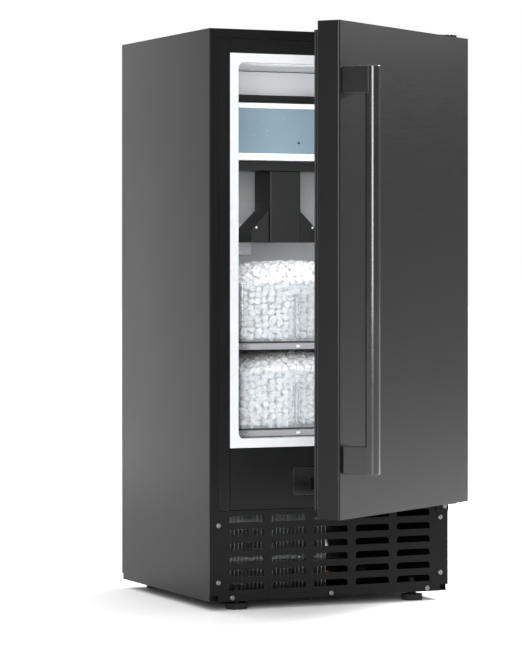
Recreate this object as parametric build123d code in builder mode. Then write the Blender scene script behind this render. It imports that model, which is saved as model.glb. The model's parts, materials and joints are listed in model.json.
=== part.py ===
from build123d import *
from math import cos, radians, sin
import os

# Undercounter ice maker: an insulated cabinet with a side-hinged door, two ice bins, and an
# ice mould behind a hinged water curtain.  Millimetres, +Z up, the front faces -Y.
# The origin is the middle of the cabinet's footprint, on the floor.  The door stands part open.
os.makedirs("parts", exist_ok=True)

# ---------------------------------------------------------------- driving dimensions
# Cabinet shell
cabinet_width = 380.0
cabinet_depth = 340.0
body_height = 812.0  # from the base's underside to the top panel
foot_lift = 13.0  # floor to the base's underside
sheet = 1.0
base_sheet = 1.2
flange_width = 13.6  # return round the front of the shell
rear_flange = 14.0
side_hem = 9.0  # the side panels stop this far above the base
bend_radius = 1.5
panel_gap = 0.2  # between fixed neighbours
mitre_gap = 0.4
front_recess = 0.8  # plastic trims sit this far behind the flange
strip_depth = 12.0

# Insulation and liner
side_insulation = 45.0
top_insulation = 47.0
back_insulation = 55.0
cavity_floor_rise = 230.0
liner_wall = 2.0
liner_border = 13.0
liner_corner = 9.0
divider_rise = 200.0  # ceiling of the machine compartment
ledge_width = 6.0
ledge_height = 5.0

# Grille panel below the door
grille_rise = 128.0
slot_columns = 5
slot_rows = 6
slot_height = 9.4
slot_web = 12.8
slot_margin = 30.0
slot_first_rise = 15.1
slot_pitch = 19.2
slot_corner = 5.0
lip_inset = 13.0
rear_cover_rise = 211.0

# Screws, one size of pan head throughout the cabinet
screw_radius = 2.0
screw_head_radius = 3.6
screw_head_height = 2.2
screw_length = 9.0
screw_clearance = 0.15

# Levelling feet
foot_radius = 15.5
foot_height = 8.5
foot_inset_x = 49.5
foot_inset_y = 19.6
foot_neck_radius = 6.0
stud_radius = 4.0
stud_length = 20.0
running_clearance = 0.06
moving_gap = 0.3

# Door
door_angle = 34.5  # how far open it rests
door_thickness = 35.0
door_stand_off = 11.0  # cabinet face to the door's back
door_bottom_gap = 5.0
door_top_gap = 5.4
door_return = 10.0
door_corner = 3.0
cap_thickness = 3.0
hinge_inset = 6.9  # hinge axis from the door's edge
hinge_reach = 18.0  # hinge axis ahead of the cabinet face
gasket_inset = 10.9
gasket_width = 14.0
gasket_gap = 0.5  # left between the gasket and the shut cabinet
inner_panel_thickness = 2.5
inner_panel_rise = 7.0

# Hinges
hinge_plate = 2.5
hinge_tongue = 33.0
hinge_leg = 12.5
pin_radius = 3.5
pin_depth = 14.0
bush_radius = 5.4
bush_flange = 0.8

# Handle
handle_radius = 10.0
handle_stand_off = 42.0  # door face to the bar's axis
handle_length = 549.0
handle_inset = 17.0
handle_block_width = 20.0
handle_block_height = 37.0
handle_screw_radius = 2.5

# Controls
fascia_wall = 2.0
housing_width = 120.8
housing_height = 40.0
housing_rise = 147.0
housing_proud = 0.8
housing_wall = 2.0
housing_depth = 9.0
lens_width = 44.0
lens_height = 27.0
lens_centre_x = -12.0
button_radius = 5.0
button_proud = 0.8
button_travel = 1.0
button_first_x = 21.0
button_pitch = 14.0
button_gap = 0.15
board_thickness = 1.6

# Bins and shelves
bin_wall = 2.5
bin_side_gap = 13.0
bin_front_setback = 27.0
bin_back_gap = 20.0
bin_height = 87.0
bin_corner = 8.0
bin_rim = 4.0
bin_rim_height = 3.0
lower_bin_rise = 10.4  # above the cavity floor
upper_bin_rise = 135.0
pull_width = 76.0
pull_height = 60.0
pull_depth = 10.0
pull_drop = 21.5
pull_corner = 7.0
shelf_height = 9.0
shelf_wall = 2.5
bin_float = 0.3  # bin above its shelf

# Ice mould, curtain and water parts, hung from the cavity ceiling
curtain_plane = 152.0  # behind the cabinet face
curtain_thickness = 2.0
curtain_top_drop = 55.4  # ceiling to the clear sheet's top
curtain_height = 66.6
top_bar_height = 7.6
bottom_bar_height = 10.5
bar_thickness = 6.0
curtain_axis_drop = 51.0
curtain_pin_radius = 2.5
curtain_end_gap = 18.0
trim_drop = 36.0
trim_height = 10.0
cheek_thickness = 6.0
mould_setback = 168.0
mould_depth = 12.0
mould_height = 64.0
mould_cells_across = 10
mould_cells_up = 3
mould_web = 3.0
tray_height = 14.0
tray_drop = 134.0
tray_depth = 68.0
tray_wall = 2.0
column_half_width = 25.0
column_depth = 57.0
column_setback = 157.0
sump_half_width = 54.0
sump_drop = 254.0
sump_straight = 19.0
sump_slope = 29.0
tube_radius = 4.0
coil_pitch = 16.0
coil_rows = 4

# Machine compartment
compressor_width = 130.0
compressor_depth = 108.0
compressor_height = 128.0
compressor_lift = 16.0
condenser_width = 160.0
condenser_height = 112.0
condenser_depth = 40.0
condenser_setback = 32.0
condenser_rows = 4
fin_pitch = 6.0
fin_thickness = 0.5
fan_radius = 36.0
fan_opening = 40.0
drier_radius = 9.5
inlet_thread_radius = 13.2
outlet_radius = 8.0
outlet_stub = 16.0
gland_radius = 9.0
cord_hole_radius = 4.0

# ---------------------------------------------------------------- places worked out from them
half_width = cabinet_width / 2
front_y = -cabinet_depth / 2
back_y = cabinet_depth / 2
base_z = foot_lift
top_z = base_z + body_height
side_bottom = base_z + side_hem
grille_top = base_z + grille_rise
divider_z = base_z + divider_rise
face_y = front_y + front_recess
strip_back_y = face_y + strip_depth
grille_back_y = front_y + base_sheet
rear_cover_top = base_z + rear_cover_rise

cavity_x = half_width - side_insulation
cavity_back = back_y - back_insulation
cavity_bottom = base_z + cavity_floor_rise
cavity_top = top_z - top_insulation
border_x = cavity_x + liner_border
border_bottom = cavity_bottom - liner_border
border_top = cavity_top + liner_border
pipe_run_y = (cavity_back + liner_wall + back_y - 2 * sheet) / 2

door_width = cabinet_width
door_bottom = grille_top + door_bottom_gap
door_top = top_z - door_top_gap
door_mid_z = (door_bottom + door_top) / 2
hinge_x = half_width - hinge_inset
hinge_y = front_y - hinge_reach
door_right = hinge_inset  # measured from the hinge axis, as the rest of the door is
door_left = hinge_inset - door_width
door_back = hinge_reach - door_stand_off
door_face = door_back - door_thickness
handle_x = door_left + handle_inset
handle_y = door_face - handle_stand_off
handle_bottom = door_mid_z - handle_length / 2
handle_top = door_mid_z + handle_length / 2

housing_bottom = base_z + housing_rise
housing_mid_z = housing_bottom + housing_height / 2
housing_front = face_y - housing_proud
housing_back = housing_front + housing_depth

bin_half_width = cavity_x - bin_side_gap
bin_front = front_y + bin_front_setback
bin_back = cavity_back - bin_back_gap

mould_front = front_y + mould_setback
mould_top = cavity_top - curtain_top_drop
mould_bottom = mould_top - mould_height
curtain_y = front_y + curtain_plane
curtain_bottom = mould_top - curtain_height
curtain_axis_z = cavity_top - curtain_axis_drop
curtain_half = cavity_x - curtain_end_gap
tray_top = cavity_top - tray_drop
tray_bottom = tray_top - tray_height
column_front = front_y + column_setback
column_back = column_front + column_depth
sump_bottom = cavity_top - sump_drop
sump_shoulder = sump_bottom + sump_straight
sump_neck = sump_shoulder + sump_slope
coil_y = mould_front + mould_depth + tube_radius + panel_gap
coil_bottom = mould_bottom + (mould_height - coil_pitch * (coil_rows - 1)) / 2
liquid_x = curtain_half - 22.0
suction_x = curtain_half - 8.0
suction_z = coil_bottom + coil_pitch * (coil_rows - 1)
distributor_z = mould_top + 12.0
distributor_y = mould_front + mould_depth / 2
inlet_pipe_x = -cavity_x + 35.0
drain_x = -20.0
drain_y = cavity_back - 15.0

pan_top = base_z + base_sheet
compressor_x = half_width - 35.0 - compressor_width / 2
compressor_y = back_y - 38.0 - compressor_depth / 2
compressor_bottom = pan_top + compressor_lift
compressor_top = compressor_bottom + compressor_height
condenser_left = -half_width + 38.0
condenser_right = condenser_left + condenser_width
condenser_front = front_y + condenser_setback
condenser_mid_y = condenser_front + condenser_depth / 2
condenser_back = condenser_front + condenser_depth
condenser_bottom = pan_top + 10.0
condenser_top = condenser_bottom + condenser_height
row_pitch = condenser_height / condenser_rows
first_row_z = condenser_bottom + row_pitch / 2
fan_x = (condenser_left + condenser_right) / 2
fan_z = (condenser_bottom + condenser_top) / 2
shroud_back = condenser_back + 2.0
inlet_x = -half_width + 60.0
inlet_z = base_z + 70.0
outlet_z = base_z + 40.0
gland_x = half_width - 40.0
gland_z = base_z + 45.0

foot_places = {
    "front_left": (-half_width + foot_inset_x, front_y + foot_inset_y),
    "front_right": (half_width - foot_inset_x, front_y + foot_inset_y),
    "rear_left": (-half_width + foot_inset_x, back_y - foot_inset_y),
    "rear_right": (half_width - foot_inset_x, back_y - foot_inset_y),
}
grille_screw_places = [
    (-half_width + lip_inset, grille_top - 20.0),
    (half_width - lip_inset, grille_top - 20.0),
    (-half_width + lip_inset, side_bottom + 18.0),
    (half_width - lip_inset, side_bottom + 18.0),
    (-half_width + 34.5, base_z + 4.8),
    (half_width - 34.5, base_z + 4.8),
    (0.0, base_z + 4.8),
]
rear_screw_places = [
    (side * (half_width - 7.0), z)
    for side in (-1, 1)
    for z in (side_bottom + 16.0, rear_cover_top - 24.0, rear_cover_top + 14.0, top_z - 40.0)
]
hinge_leg_bottom = grille_top + 4.0 - hinge_plate - hinge_leg
lower_plate_top = door_bottom - bush_flange - moving_gap
upper_plate_bottom = top_z - panel_gap / 2 - hinge_plate
lower_hinge_screws = [(half_width - 7.0, grille_top - 4.0)]
upper_hinge_screws = [(half_width - 40.0, top_z - 8.5), (half_width - 27.0, top_z - 8.5)]


# ---------------------------------------------------------------- planes and small helpers
def plan(z):
    """Level plane at height z."""
    return Plane.XY.offset(z)


def front_view(y):
    """Upright plane at depth y: its x is X, its y is Z, and it faces the front."""
    return Plane(origin=(0, y, 0), x_dir=(1, 0, 0), z_dir=(0, -1, 0))


def side_view(x):
    """Upright plane at x: its x is Y, its y is Z, and it faces +X."""
    return Plane(origin=(x, 0, 0), x_dir=(0, 1, 0), z_dir=(1, 0, 0))


door_x_dir = (cos(radians(door_angle)), sin(radians(door_angle)), 0)
door_y_dir = (-sin(radians(door_angle)), cos(radians(door_angle)), 0)
door_forward = (sin(radians(door_angle)), -cos(radians(door_angle)), 0)


def door_point(x, y, z=0.0):
    """A point of the door, measured from the hinge axis with the door shut, where it rests."""
    return (
        hinge_x + x * door_x_dir[0] + y * door_y_dir[0],
        hinge_y + x * door_x_dir[1] + y * door_y_dir[1],
        z,
    )


def door_plan(z):
    """Level plane of the door, with its origin on the hinge axis."""
    return Plane(origin=door_point(0, 0, z), x_dir=door_x_dir, z_dir=(0, 0, 1))


def door_front(y):
    """Upright plane along the door's width at its depth y, facing forward."""
    return Plane(origin=door_point(0, y), x_dir=door_x_dir, z_dir=door_forward)


def span(x0, x1, y0, y1, mode=Mode.ADD):
    """A rectangle in the current sketch, from its limits."""
    with Locations(((x0 + x1) / 2, (y0 + y1) / 2)):
        Rectangle(abs(x1 - x0), abs(y1 - y0), mode=mode)


def rounded_span(x0, x1, y0, y1, radius, mode=Mode.ADD):
    """A rectangle with rounded corners in the current sketch, from its limits."""
    with Locations(((x0 + x1) / 2, (y0 + y1) / 2)):
        RectangleRounded(abs(x1 - x0), abs(y1 - y0), radius, mode=mode)


def block(x0, x1, y0, y1, z0, z1, mode=Mode.ADD):
    """A box in the current part, from its limits."""
    with Locations(((x0 + x1) / 2, (y0 + y1) / 2, (z0 + z1) / 2)):
        Box(abs(x1 - x0), abs(y1 - y0), abs(z1 - z0), mode=mode)


def rod(axis_plane, radius, length, mode=Mode.ADD):
    """A round bar in the current part, from its plane's origin along the plane's normal."""
    with Locations(axis_plane):
        Cylinder(radius, length, align=(Align.CENTER, Align.CENTER, Align.MIN), mode=mode)


def facing_front(x, y, z):
    """Plane at a point whose normal points forward, for screws and buttons."""
    return Plane(origin=(x, y, z), x_dir=(1, 0, 0), z_dir=(0, -1, 0))


def facing_back(x, y, z):
    """Plane at a point whose normal points backward."""
    return Plane(origin=(x, y, z), x_dir=(-1, 0, 0), z_dir=(0, 1, 0))


def upright(x, y, z):
    """Plane at a point whose normal points up."""
    return Plane(origin=(x, y, z), x_dir=(1, 0, 0), z_dir=(0, 0, 1))


def sideways(x, y, z):
    """Plane at a point whose normal points to the right."""
    return Plane(origin=(x, y, z), x_dir=(0, 1, 0), z_dir=(1, 0, 0))


def make_tube(points, bend, radius):
    """A round tube along straight runs joined by arcs."""
    with BuildPart() as tube:
        with BuildLine() as route:
            FilletPolyline(*points, radius=bend)
        with BuildSketch(Plane(origin=route.line @ 0, z_dir=route.line % 0)):
            Circle(radius)
        sweep()
    return tube


# ---------------------------------------------------------------- cabinet shell
for name, side in (("left", -1), ("right", 1)):
    outer = side * half_width
    joggle_y = grille_back_y + panel_gap
    with BuildPart() as side_panel:
        with BuildSketch(plan(grille_top)) as upper_section:
            span(outer, outer - side * sheet, front_y, back_y - sheet)
            span(outer, outer - side * flange_width, front_y, front_y + sheet)
            span(outer, outer - side * rear_flange, back_y - 2 * sheet, back_y - sheet)
            front_corner = upper_section.vertices().group_by(Axis.Y)[0].sort_by(Axis.X)
            fillet(front_corner[0 if side < 0 else -1], bend_radius)
        extrude(amount=top_z - grille_top)
        with BuildSketch(plan(side_bottom)):
            span(outer, outer - side * sheet, joggle_y, back_y - sheet)
            span(outer, outer - side * (flange_width + 6.0), joggle_y, joggle_y + sheet)
            span(outer, outer - side * rear_flange, back_y - 2 * sheet, back_y - sheet)
        extrude(amount=grille_top - side_bottom)
        with BuildSketch(front_view(front_y + sheet)):
            with BuildLine():
                Polyline(
                    (outer, top_z),
                    (outer - side * flange_width, top_z),
                    (outer - side * flange_width, top_z - flange_width),
                    close=True,
                )
            make_face()
        extrude(amount=sheet, mode=Mode.SUBTRACT)
        block(
            outer - side * (sheet + panel_gap), outer - side * rear_flange,
            back_y - 2 * sheet, back_y - sheet,
            top_z - sheet - panel_gap, top_z, Mode.SUBTRACT,
        )
        for x, z in grille_screw_places + lower_hinge_screws:
            hole_plane = facing_front(x, joggle_y + 2 * sheet, z)
            rod(hole_plane, screw_radius + screw_clearance, 6.0, Mode.SUBTRACT)
        for x, z in rear_screw_places:
            rod(facing_back(x, back_y - 4 * sheet, z), screw_radius + screw_clearance, 6.0, Mode.SUBTRACT)
    side_panel.part.label = f"side_panel_{name}"
    export_step(side_panel.part, f"parts/side_panel_{name}.step")

with BuildPart() as top_panel:
    top_reach = half_width - sheet - mitre_gap
    block(-top_reach, top_reach, front_y, back_y - sheet, top_z - sheet, top_z)
    with BuildSketch(front_view(front_y + sheet)):
        with BuildLine():
            Polyline(
                (-top_reach, top_z - sheet),
                (-half_width + flange_width + mitre_gap, top_z - flange_width),
                (half_width - flange_width - mitre_gap, top_z - flange_width),
                (top_reach, top_z - sheet),
                close=True,
            )
        make_face()
    extrude(amount=sheet)
    rear_reach = half_width - rear_flange - panel_gap
    block(-rear_reach, rear_reach, back_y - 2 * sheet, back_y - sheet, top_z - rear_flange, top_z - sheet)
    front_edge = top_panel.edges().filter_by(Axis.X).group_by(Axis.Y)[0].sort_by(Axis.Z)[-1]
    fillet(front_edge, bend_radius / 2)
    for x, z in upper_hinge_screws:
        rod(facing_front(x, front_y + 2 * sheet, z), screw_radius + screw_clearance, 6.0, Mode.SUBTRACT)
top_panel.part.label = "top_panel"
export_step(top_panel.part, "parts/top_panel.step")

with BuildPart() as back_panel:
    block(
        -half_width + panel_gap, half_width - panel_gap,
        back_y - sheet, back_y,
        rear_cover_top + panel_gap, top_z - panel_gap,
    )
    for x, z in rear_screw_places:
        rod(facing_back(x, back_y - 4 * sheet, z), screw_radius + screw_clearance, 6.0, Mode.SUBTRACT)
back_panel.part.label = "back_panel"
export_step(back_panel.part, "parts/back_panel.step")

with BuildPart() as rear_cover:
    block(
        -half_width + panel_gap, half_width - panel_gap,
        back_y - sheet, back_y,
        side_bottom, rear_cover_top,
    )
    with BuildSketch(Plane(origin=(0, back_y, 0), x_dir=(-1, 0, 0), z_dir=(0, 1, 0))):
        vent_z = (side_bottom + rear_cover_top) / 2 + 40.0
        with Locations((-60.0, vent_z), (60.0, vent_z)):
            with GridLocations(0, 12.0, 1, 6):
                SlotOverall(86.0, 5.0)
    extrude(amount=-2 * sheet, mode=Mode.SUBTRACT)
    rod(facing_back(inlet_x, back_y - 3.0, inlet_z), inlet_thread_radius + 0.8, 6.0, Mode.SUBTRACT)
    rod(facing_back(drain_x, back_y - 3.0, outlet_z), outlet_radius + 0.8, 6.0, Mode.SUBTRACT)
    rod(facing_back(gland_x, back_y - 3.0, gland_z), gland_radius - 1.5 + 0.2, 6.0, Mode.SUBTRACT)
    for x, z in rear_screw_places:
        rod(facing_back(x, back_y - 4 * sheet, z), screw_radius + screw_clearance, 6.0, Mode.SUBTRACT)
rear_cover.part.label = "rear_cover"
export_step(rear_cover.part, "parts/rear_cover.step")

with BuildPart() as base_pan:
    pan_half = half_width - sheet - panel_gap
    pan_front = grille_back_y + panel_gap
    pan_back = back_y - 2 * sheet - panel_gap
    lip_half = half_width - flange_width - 12.0
    block(-pan_half, pan_half, pan_front, pan_back, base_z, pan_top)
    block(-lip_half, lip_half, pan_front, pan_front + base_sheet, pan_top, pan_top + 12.0)
    block(-pan_half, pan_half, pan_back - base_sheet, pan_back, pan_top, pan_top + 18.0)
    for side in (-1, 1):
        block(
            side * pan_half, side * (pan_half - base_sheet),
            pan_front + 3 * sheet, pan_back,
            pan_top, pan_top + 18.0,
        )
    for x, y in foot_places.values():
        rod(upright(x, y, pan_top), stud_radius + 4.0, 8.0)
        rod(upright(x, y, base_z), stud_radius + running_clearance, 12.0, Mode.SUBTRACT)
    for x, z in grille_screw_places:
        rod(facing_front(x, front_y + 6.0, z), screw_radius + screw_clearance, 6.0, Mode.SUBTRACT)
base_pan.part.label = "base_pan"
export_step(base_pan.part, "parts/base_pan.step")

for name, (x, y) in foot_places.items():
    with BuildPart() as foot:
        with BuildSketch(plan(0)):
            with Locations((x, y)):
                Circle(foot_radius)
                with PolarLocations(foot_radius + 0.4, 24):
                    Circle(1.1, mode=Mode.SUBTRACT)
        extrude(amount=foot_height)
        rod(upright(x, y, foot_height), foot_neck_radius, base_z - moving_gap - foot_height)
        rod(upright(x, y, base_z - moving_gap), stud_radius, stud_length)
        chamfer(foot.edges().filter_by(GeomType.CIRCLE).group_by(Axis.Z)[-1], 0.6)
    foot.part.label = f"foot_{name}"
    export_step(foot.part, f"parts/foot_{name}.step")

# ---------------------------------------------------------------- grille panel and screws
with BuildPart() as grille_panel:
    slot_span = (cabinet_width - 2 * slot_margin + slot_web) / slot_columns
    slot_width = slot_span - slot_web
    with BuildSketch(front_view(grille_back_y)):
        span(-half_width, half_width, side_bottom, grille_top)
        span(-half_width + lip_inset, half_width - lip_inset, base_z, side_bottom)
    extrude(amount=base_sheet)
    with BuildSketch(front_view(grille_back_y)):
        with BuildSketch(mode=Mode.PRIVATE) as slot_outline:
            span(-slot_width / 2, slot_width / 2, 0, slot_height)
            fillet(slot_outline.vertices().group_by(Axis.Y)[-1], slot_corner)
            fillet(slot_outline.vertices().group_by(Axis.Y)[0], 0.8)
        for row in range(slot_rows):
            for column in range(slot_columns):
                slot_x = (column - (slot_columns - 1) / 2) * slot_span
                with Locations((slot_x, base_z + slot_first_rise + row * slot_pitch)):
                    add(slot_outline.sketch)
    extrude(amount=base_sheet, mode=Mode.SUBTRACT)
    for x, z in grille_screw_places + lower_hinge_screws:
        rod(facing_front(x, front_y + 6.0, z), screw_radius + screw_clearance, 9.0, Mode.SUBTRACT)
grille_panel.part.label = "grille_panel"
export_step(grille_panel.part, "parts/grille_panel.step")

with BuildPart() as cabinet_screws:
    screw_planes = [facing_front(x, front_y, z) for x, z in grille_screw_places]
    screw_planes += [facing_front(x, front_y - hinge_plate, z) for x, z in lower_hinge_screws]
    screw_planes += [facing_front(x, front_y - hinge_plate, z) for x, z in upper_hinge_screws]
    screw_planes += [facing_back(x, back_y, z) for x, z in rear_screw_places]
    for place in screw_planes:
        with Locations(place):
            Cylinder(screw_head_radius, screw_head_height, align=(Align.CENTER, Align.CENTER, Align.MIN))
            with Locations((0, 0, screw_head_height)):
                Box(4.4, 0.9, 1.2, mode=Mode.SUBTRACT)
                Box(0.9, 4.4, 1.2, mode=Mode.SUBTRACT)
            Cylinder(screw_radius, screw_length, align=(Align.CENTER, Align.CENTER, Align.MAX))
    head_rims = cabinet_screws.edges().filter_by(GeomType.CIRCLE)
    head_rims = head_rims.filter_by(lambda rim: abs(rim.radius - screw_head_radius) < 0.01)
    rim_depths = [(place.origin + place.z_dir * screw_head_height).Y for place in screw_planes]
    outer_rims = [
        rim for rim in head_rims
        if min(abs(rim.center().Y - depth) for depth in rim_depths) < 0.01
    ]
    fillet(outer_rims, 1.1)
cabinet_screws.part.label = "cabinet_screws"
export_step(cabinet_screws.part, "parts/cabinet_screws.step")

# ---------------------------------------------------------------- liner, insulation, trims
suction_path = [
    (compressor_x, compressor_y, compressor_top + 0.2),
    (compressor_x, compressor_y, compressor_top + 24.0),
    (suction_x, pipe_run_y, compressor_top + 24.0),
    (suction_x, pipe_run_y, suction_z),
    (suction_x, coil_y, suction_z),
    (suction_x - 14.0, coil_y, suction_z),
]
drier_mid_y = condenser_back + 70.0
drier_x = condenser_right + 24.0
liquid_path = [
    (drier_x, drier_mid_y + 38.0, first_row_z),
    (drier_x, drier_mid_y + 62.0, first_row_z),
    (drier_x, drier_mid_y + 62.0, divider_z - 14.0),
    (liquid_x, pipe_run_y, divider_z - 14.0),
    (liquid_x, pipe_run_y, coil_bottom),
    (liquid_x, coil_y, coil_bottom),
    (liquid_x - 14.0, coil_y, coil_bottom),
]
inlet_path = [
    (inlet_x, back_y - 30.0, inlet_z + 18.0),
    (inlet_x, back_y - 30.0, divider_z - 24.0),
    (inlet_pipe_x, pipe_run_y, divider_z - 10.0),
    (inlet_pipe_x, pipe_run_y, tray_top + 16.0),
    (inlet_pipe_x, column_back + 8.0, tray_top + 16.0),
    (inlet_pipe_x, column_back + 8.0, tray_top + 2.0),
]
wall_pipes = [(suction_x, suction_z), (liquid_x, coil_bottom), (inlet_pipe_x, tray_top + 16.0)]

with BuildPart() as inner_liner:
    with BuildSketch(front_view(face_y + liner_wall)):
        span(-border_x, border_x, border_bottom, border_top)
    extrude(amount=liner_wall)
    with BuildSketch(front_view(face_y + liner_wall)):
        rounded_span(
            -cavity_x - liner_wall, cavity_x + liner_wall,
            cavity_bottom - liner_wall, cavity_top + liner_wall,
            liner_corner + liner_wall,
        )
    extrude(amount=face_y - cavity_back)
    with BuildSketch(front_view(face_y)):
        rounded_span(-cavity_x, cavity_x, cavity_bottom, cavity_top, liner_corner)
    extrude(amount=face_y - cavity_back, mode=Mode.SUBTRACT)
    for side in (-1, 1):
        block(
            side * cavity_x, side * (cavity_x - ledge_width),
            bin_front, cavity_back,
            cavity_bottom + upper_bin_rise - bin_float - shelf_height - ledge_height,
            cavity_bottom + upper_bin_rise - bin_float - shelf_height - panel_gap,
        )
    for x, z in wall_pipes:
        rod(facing_back(x, cavity_back - 2.0, z), tube_radius + panel_gap, 8.0, Mode.SUBTRACT)
    rod(upright(drain_x, drain_y, cavity_bottom - 4.0), outlet_radius + panel_gap, 8.0, Mode.SUBTRACT)
inner_liner.part.label = "inner_liner"
export_step(inner_liner.part, "parts/inner_liner.step")

with BuildPart() as cabinet_foam:
    foam_half = half_width - sheet - panel_gap
    block(
        -foam_half, foam_half,
        strip_back_y + panel_gap, back_y - 2 * sheet - panel_gap,
        divider_z + 2 * panel_gap, top_z - sheet - panel_gap,
    )
    with BuildSketch(front_view(face_y)):
        rounded_span(
            -cavity_x - liner_wall - panel_gap, cavity_x + liner_wall + panel_gap,
            cavity_bottom - liner_wall - panel_gap, cavity_top + liner_wall + panel_gap,
            liner_corner + liner_wall,
        )
    extrude(amount=face_y - cavity_back - liner_wall - panel_gap, mode=Mode.SUBTRACT)
    for x, z in wall_pipes:
        rod(upright(x, pipe_run_y, divider_z), tube_radius + 2.0, z + 8.0 - divider_z, Mode.SUBTRACT)
        block(
            x - tube_radius - 2.0, x + tube_radius + 2.0,
            cavity_back, pipe_run_y + tube_radius + 2.0,
            z - 24.0, z + 8.0, Mode.SUBTRACT,
        )
    rod(upright(drain_x, drain_y, divider_z), outlet_radius + panel_gap, 60.0, Mode.SUBTRACT)
    for x, z in rear_screw_places:
        rod(facing_back(x, back_y - 14.0, z), screw_radius + screw_clearance, 14.0, Mode.SUBTRACT)
cabinet_foam.part.label = "cabinet_foam"
export_step(cabinet_foam.part, "parts/cabinet_foam.step")

with BuildPart() as divider_plate:
    block(
        -half_width + sheet + panel_gap, half_width - sheet - panel_gap,
        strip_back_y + panel_gap, back_y - 2 * sheet - panel_gap,
        divider_z - sheet, divider_z,
    )
    for x, z in wall_pipes:
        rod(upright(x, pipe_run_y, divider_z - 3.0), tube_radius + 2.0, 6.0, Mode.SUBTRACT)
    rod(upright(drain_x, drain_y, divider_z - 3.0), outlet_radius + 1.0, 6.0, Mode.SUBTRACT)
divider_plate.part.label = "divider_plate"
export_step(divider_plate.part, "parts/divider_plate.step")

with BuildPart() as breaker_strips:
    strip_outer = half_width - flange_width - panel_gap
    strip_top = top_z - flange_width - panel_gap
    for side in (-1, 1):
        block(
            side * strip_outer, side * (border_x + panel_gap),
            face_y, strip_back_y, grille_top + panel_gap, strip_top,
        )
    block(
        -border_x, border_x,
        face_y, strip_back_y, border_top + panel_gap, strip_top,
    )
    chamfer(breaker_strips.edges().filter_by(Axis.Z).group_by(Axis.Y)[0], 0.5)
breaker_strips.part.label = "breaker_strips"
export_step(breaker_strips.part, "parts/breaker_strips.step")

# ---------------------------------------------------------------- controls
fascia_bottom = grille_top + 2 * panel_gap
fascia_top = border_bottom - panel_gap
with BuildPart() as control_fascia:
    fascia_half = border_x - panel_gap
    block(-fascia_half, fascia_half, face_y, strip_back_y, fascia_bottom, fascia_top)
    block(
        -fascia_half + fascia_wall, fascia_half - fascia_wall,
        face_y + fascia_wall, strip_back_y,
        fascia_bottom + fascia_wall, fascia_top - fascia_wall, Mode.SUBTRACT,
    )
    with BuildSketch(front_view(strip_back_y)):
        hole_half = housing_width / 2 + panel_gap
        rounded_span(
            -hole_half, hole_half,
            housing_bottom - panel_gap, housing_bottom + housing_height + panel_gap, 4.0,
        )
    extrude(amount=2 * strip_depth, mode=Mode.SUBTRACT)
    chamfer(control_fascia.edges().group_by(Axis.Y)[0].filter_by(Axis.X), 0.6)
control_fascia.part.label = "control_fascia"
export_step(control_fascia.part, "parts/control_fascia.step")

button_z = housing_mid_z
button_places = {
    "power": button_first_x,
    "timer": button_first_x + button_pitch,
    "clean": button_first_x + 2 * button_pitch,
}
with BuildPart() as control_housing:
    with BuildSketch(front_view(housing_back)):
        rounded_span(
            -housing_width / 2, housing_width / 2,
            housing_bottom, housing_bottom + housing_height, 4.0,
        )
    extrude(amount=housing_depth)
    fillet(control_housing.faces().sort_by(Axis.Y)[0].edges(), 0.6)
    with BuildSketch(front_view(housing_back)):
        rounded_span(
            -housing_width / 2 + housing_wall, housing_width / 2 - housing_wall,
            housing_bottom + housing_wall, housing_bottom + housing_height - housing_wall, 3.0,
        )
    extrude(amount=housing_depth - housing_wall, mode=Mode.SUBTRACT)
    with BuildSketch(front_view(housing_front)):
        with Locations((lens_centre_x, housing_mid_z)):
            RectangleRounded(lens_width + 2 * panel_gap, lens_height + 2 * panel_gap, 2.0)
    extrude(amount=-housing_wall, mode=Mode.SUBTRACT)
    for x in button_places.values():
        rod(facing_front(x, housing_back, button_z), button_radius + button_gap, 12.0, Mode.SUBTRACT)
control_housing.part.label = "control_housing"
export_step(control_housing.part, "parts/control_housing.step")

with BuildPart() as display_lens:
    with BuildSketch(front_view(housing_front + housing_wall)):
        with Locations((lens_centre_x, housing_mid_z)):
            RectangleRounded(lens_width, lens_height, 2.0)
    extrude(amount=housing_wall - 0.2)
    fillet(display_lens.faces().sort_by(Axis.Y)[0].edges(), 0.4)
display_lens.part.label = "display_lens"
export_step(display_lens.part, "parts/display_lens.step")

button_back = housing_front + housing_wall + moving_gap + 1.5
for name, x in button_places.items():
    with BuildPart() as push_button:
        cap_front = housing_front - button_proud
        rod(facing_front(x, button_back, button_z), button_radius, button_back - cap_front)
        fillet(push_button.edges().filter_by(GeomType.CIRCLE).group_by(Axis.Y)[0], 0.6)
        rod(facing_front(x, button_back, button_z), button_radius + 1.2, 1.5)
    push_button.part.label = f"{name}_button"
    export_step(push_button.part, f"parts/{name}_button.step")

with BuildPart() as control_board:
    board_front = housing_back + panel_gap
    board_half = housing_width / 2 - 2.0
    board_z = housing_height / 2 - 2.0
    block(
        -board_half, board_half, board_front, board_front + board_thickness,
        housing_mid_z - board_z, housing_mid_z + board_z,
    )
    switch_front = button_back + button_travel + 0.6
    for x in button_places.values():
        block(x - 3.0, x + 3.0, switch_front, board_front, button_z - 3.0, button_z + 3.0)
    block(
        lens_centre_x - 18.0, lens_centre_x + 18.0,
        housing_front + housing_wall + 1.0, board_front,
        housing_mid_z - 10.0, housing_mid_z + 10.0,
    )
    board_back = board_front + board_thickness
    block(-40.0, -14.0, board_back, board_front + 14.0, housing_mid_z - 10.0, housing_mid_z + 10.0)
    block(10.0, 26.0, board_back, board_front + 12.0, housing_mid_z - 8.0, housing_mid_z + 8.0)
control_board.part.label = "control_board"
export_step(control_board.part, "parts/control_board.step")

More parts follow.
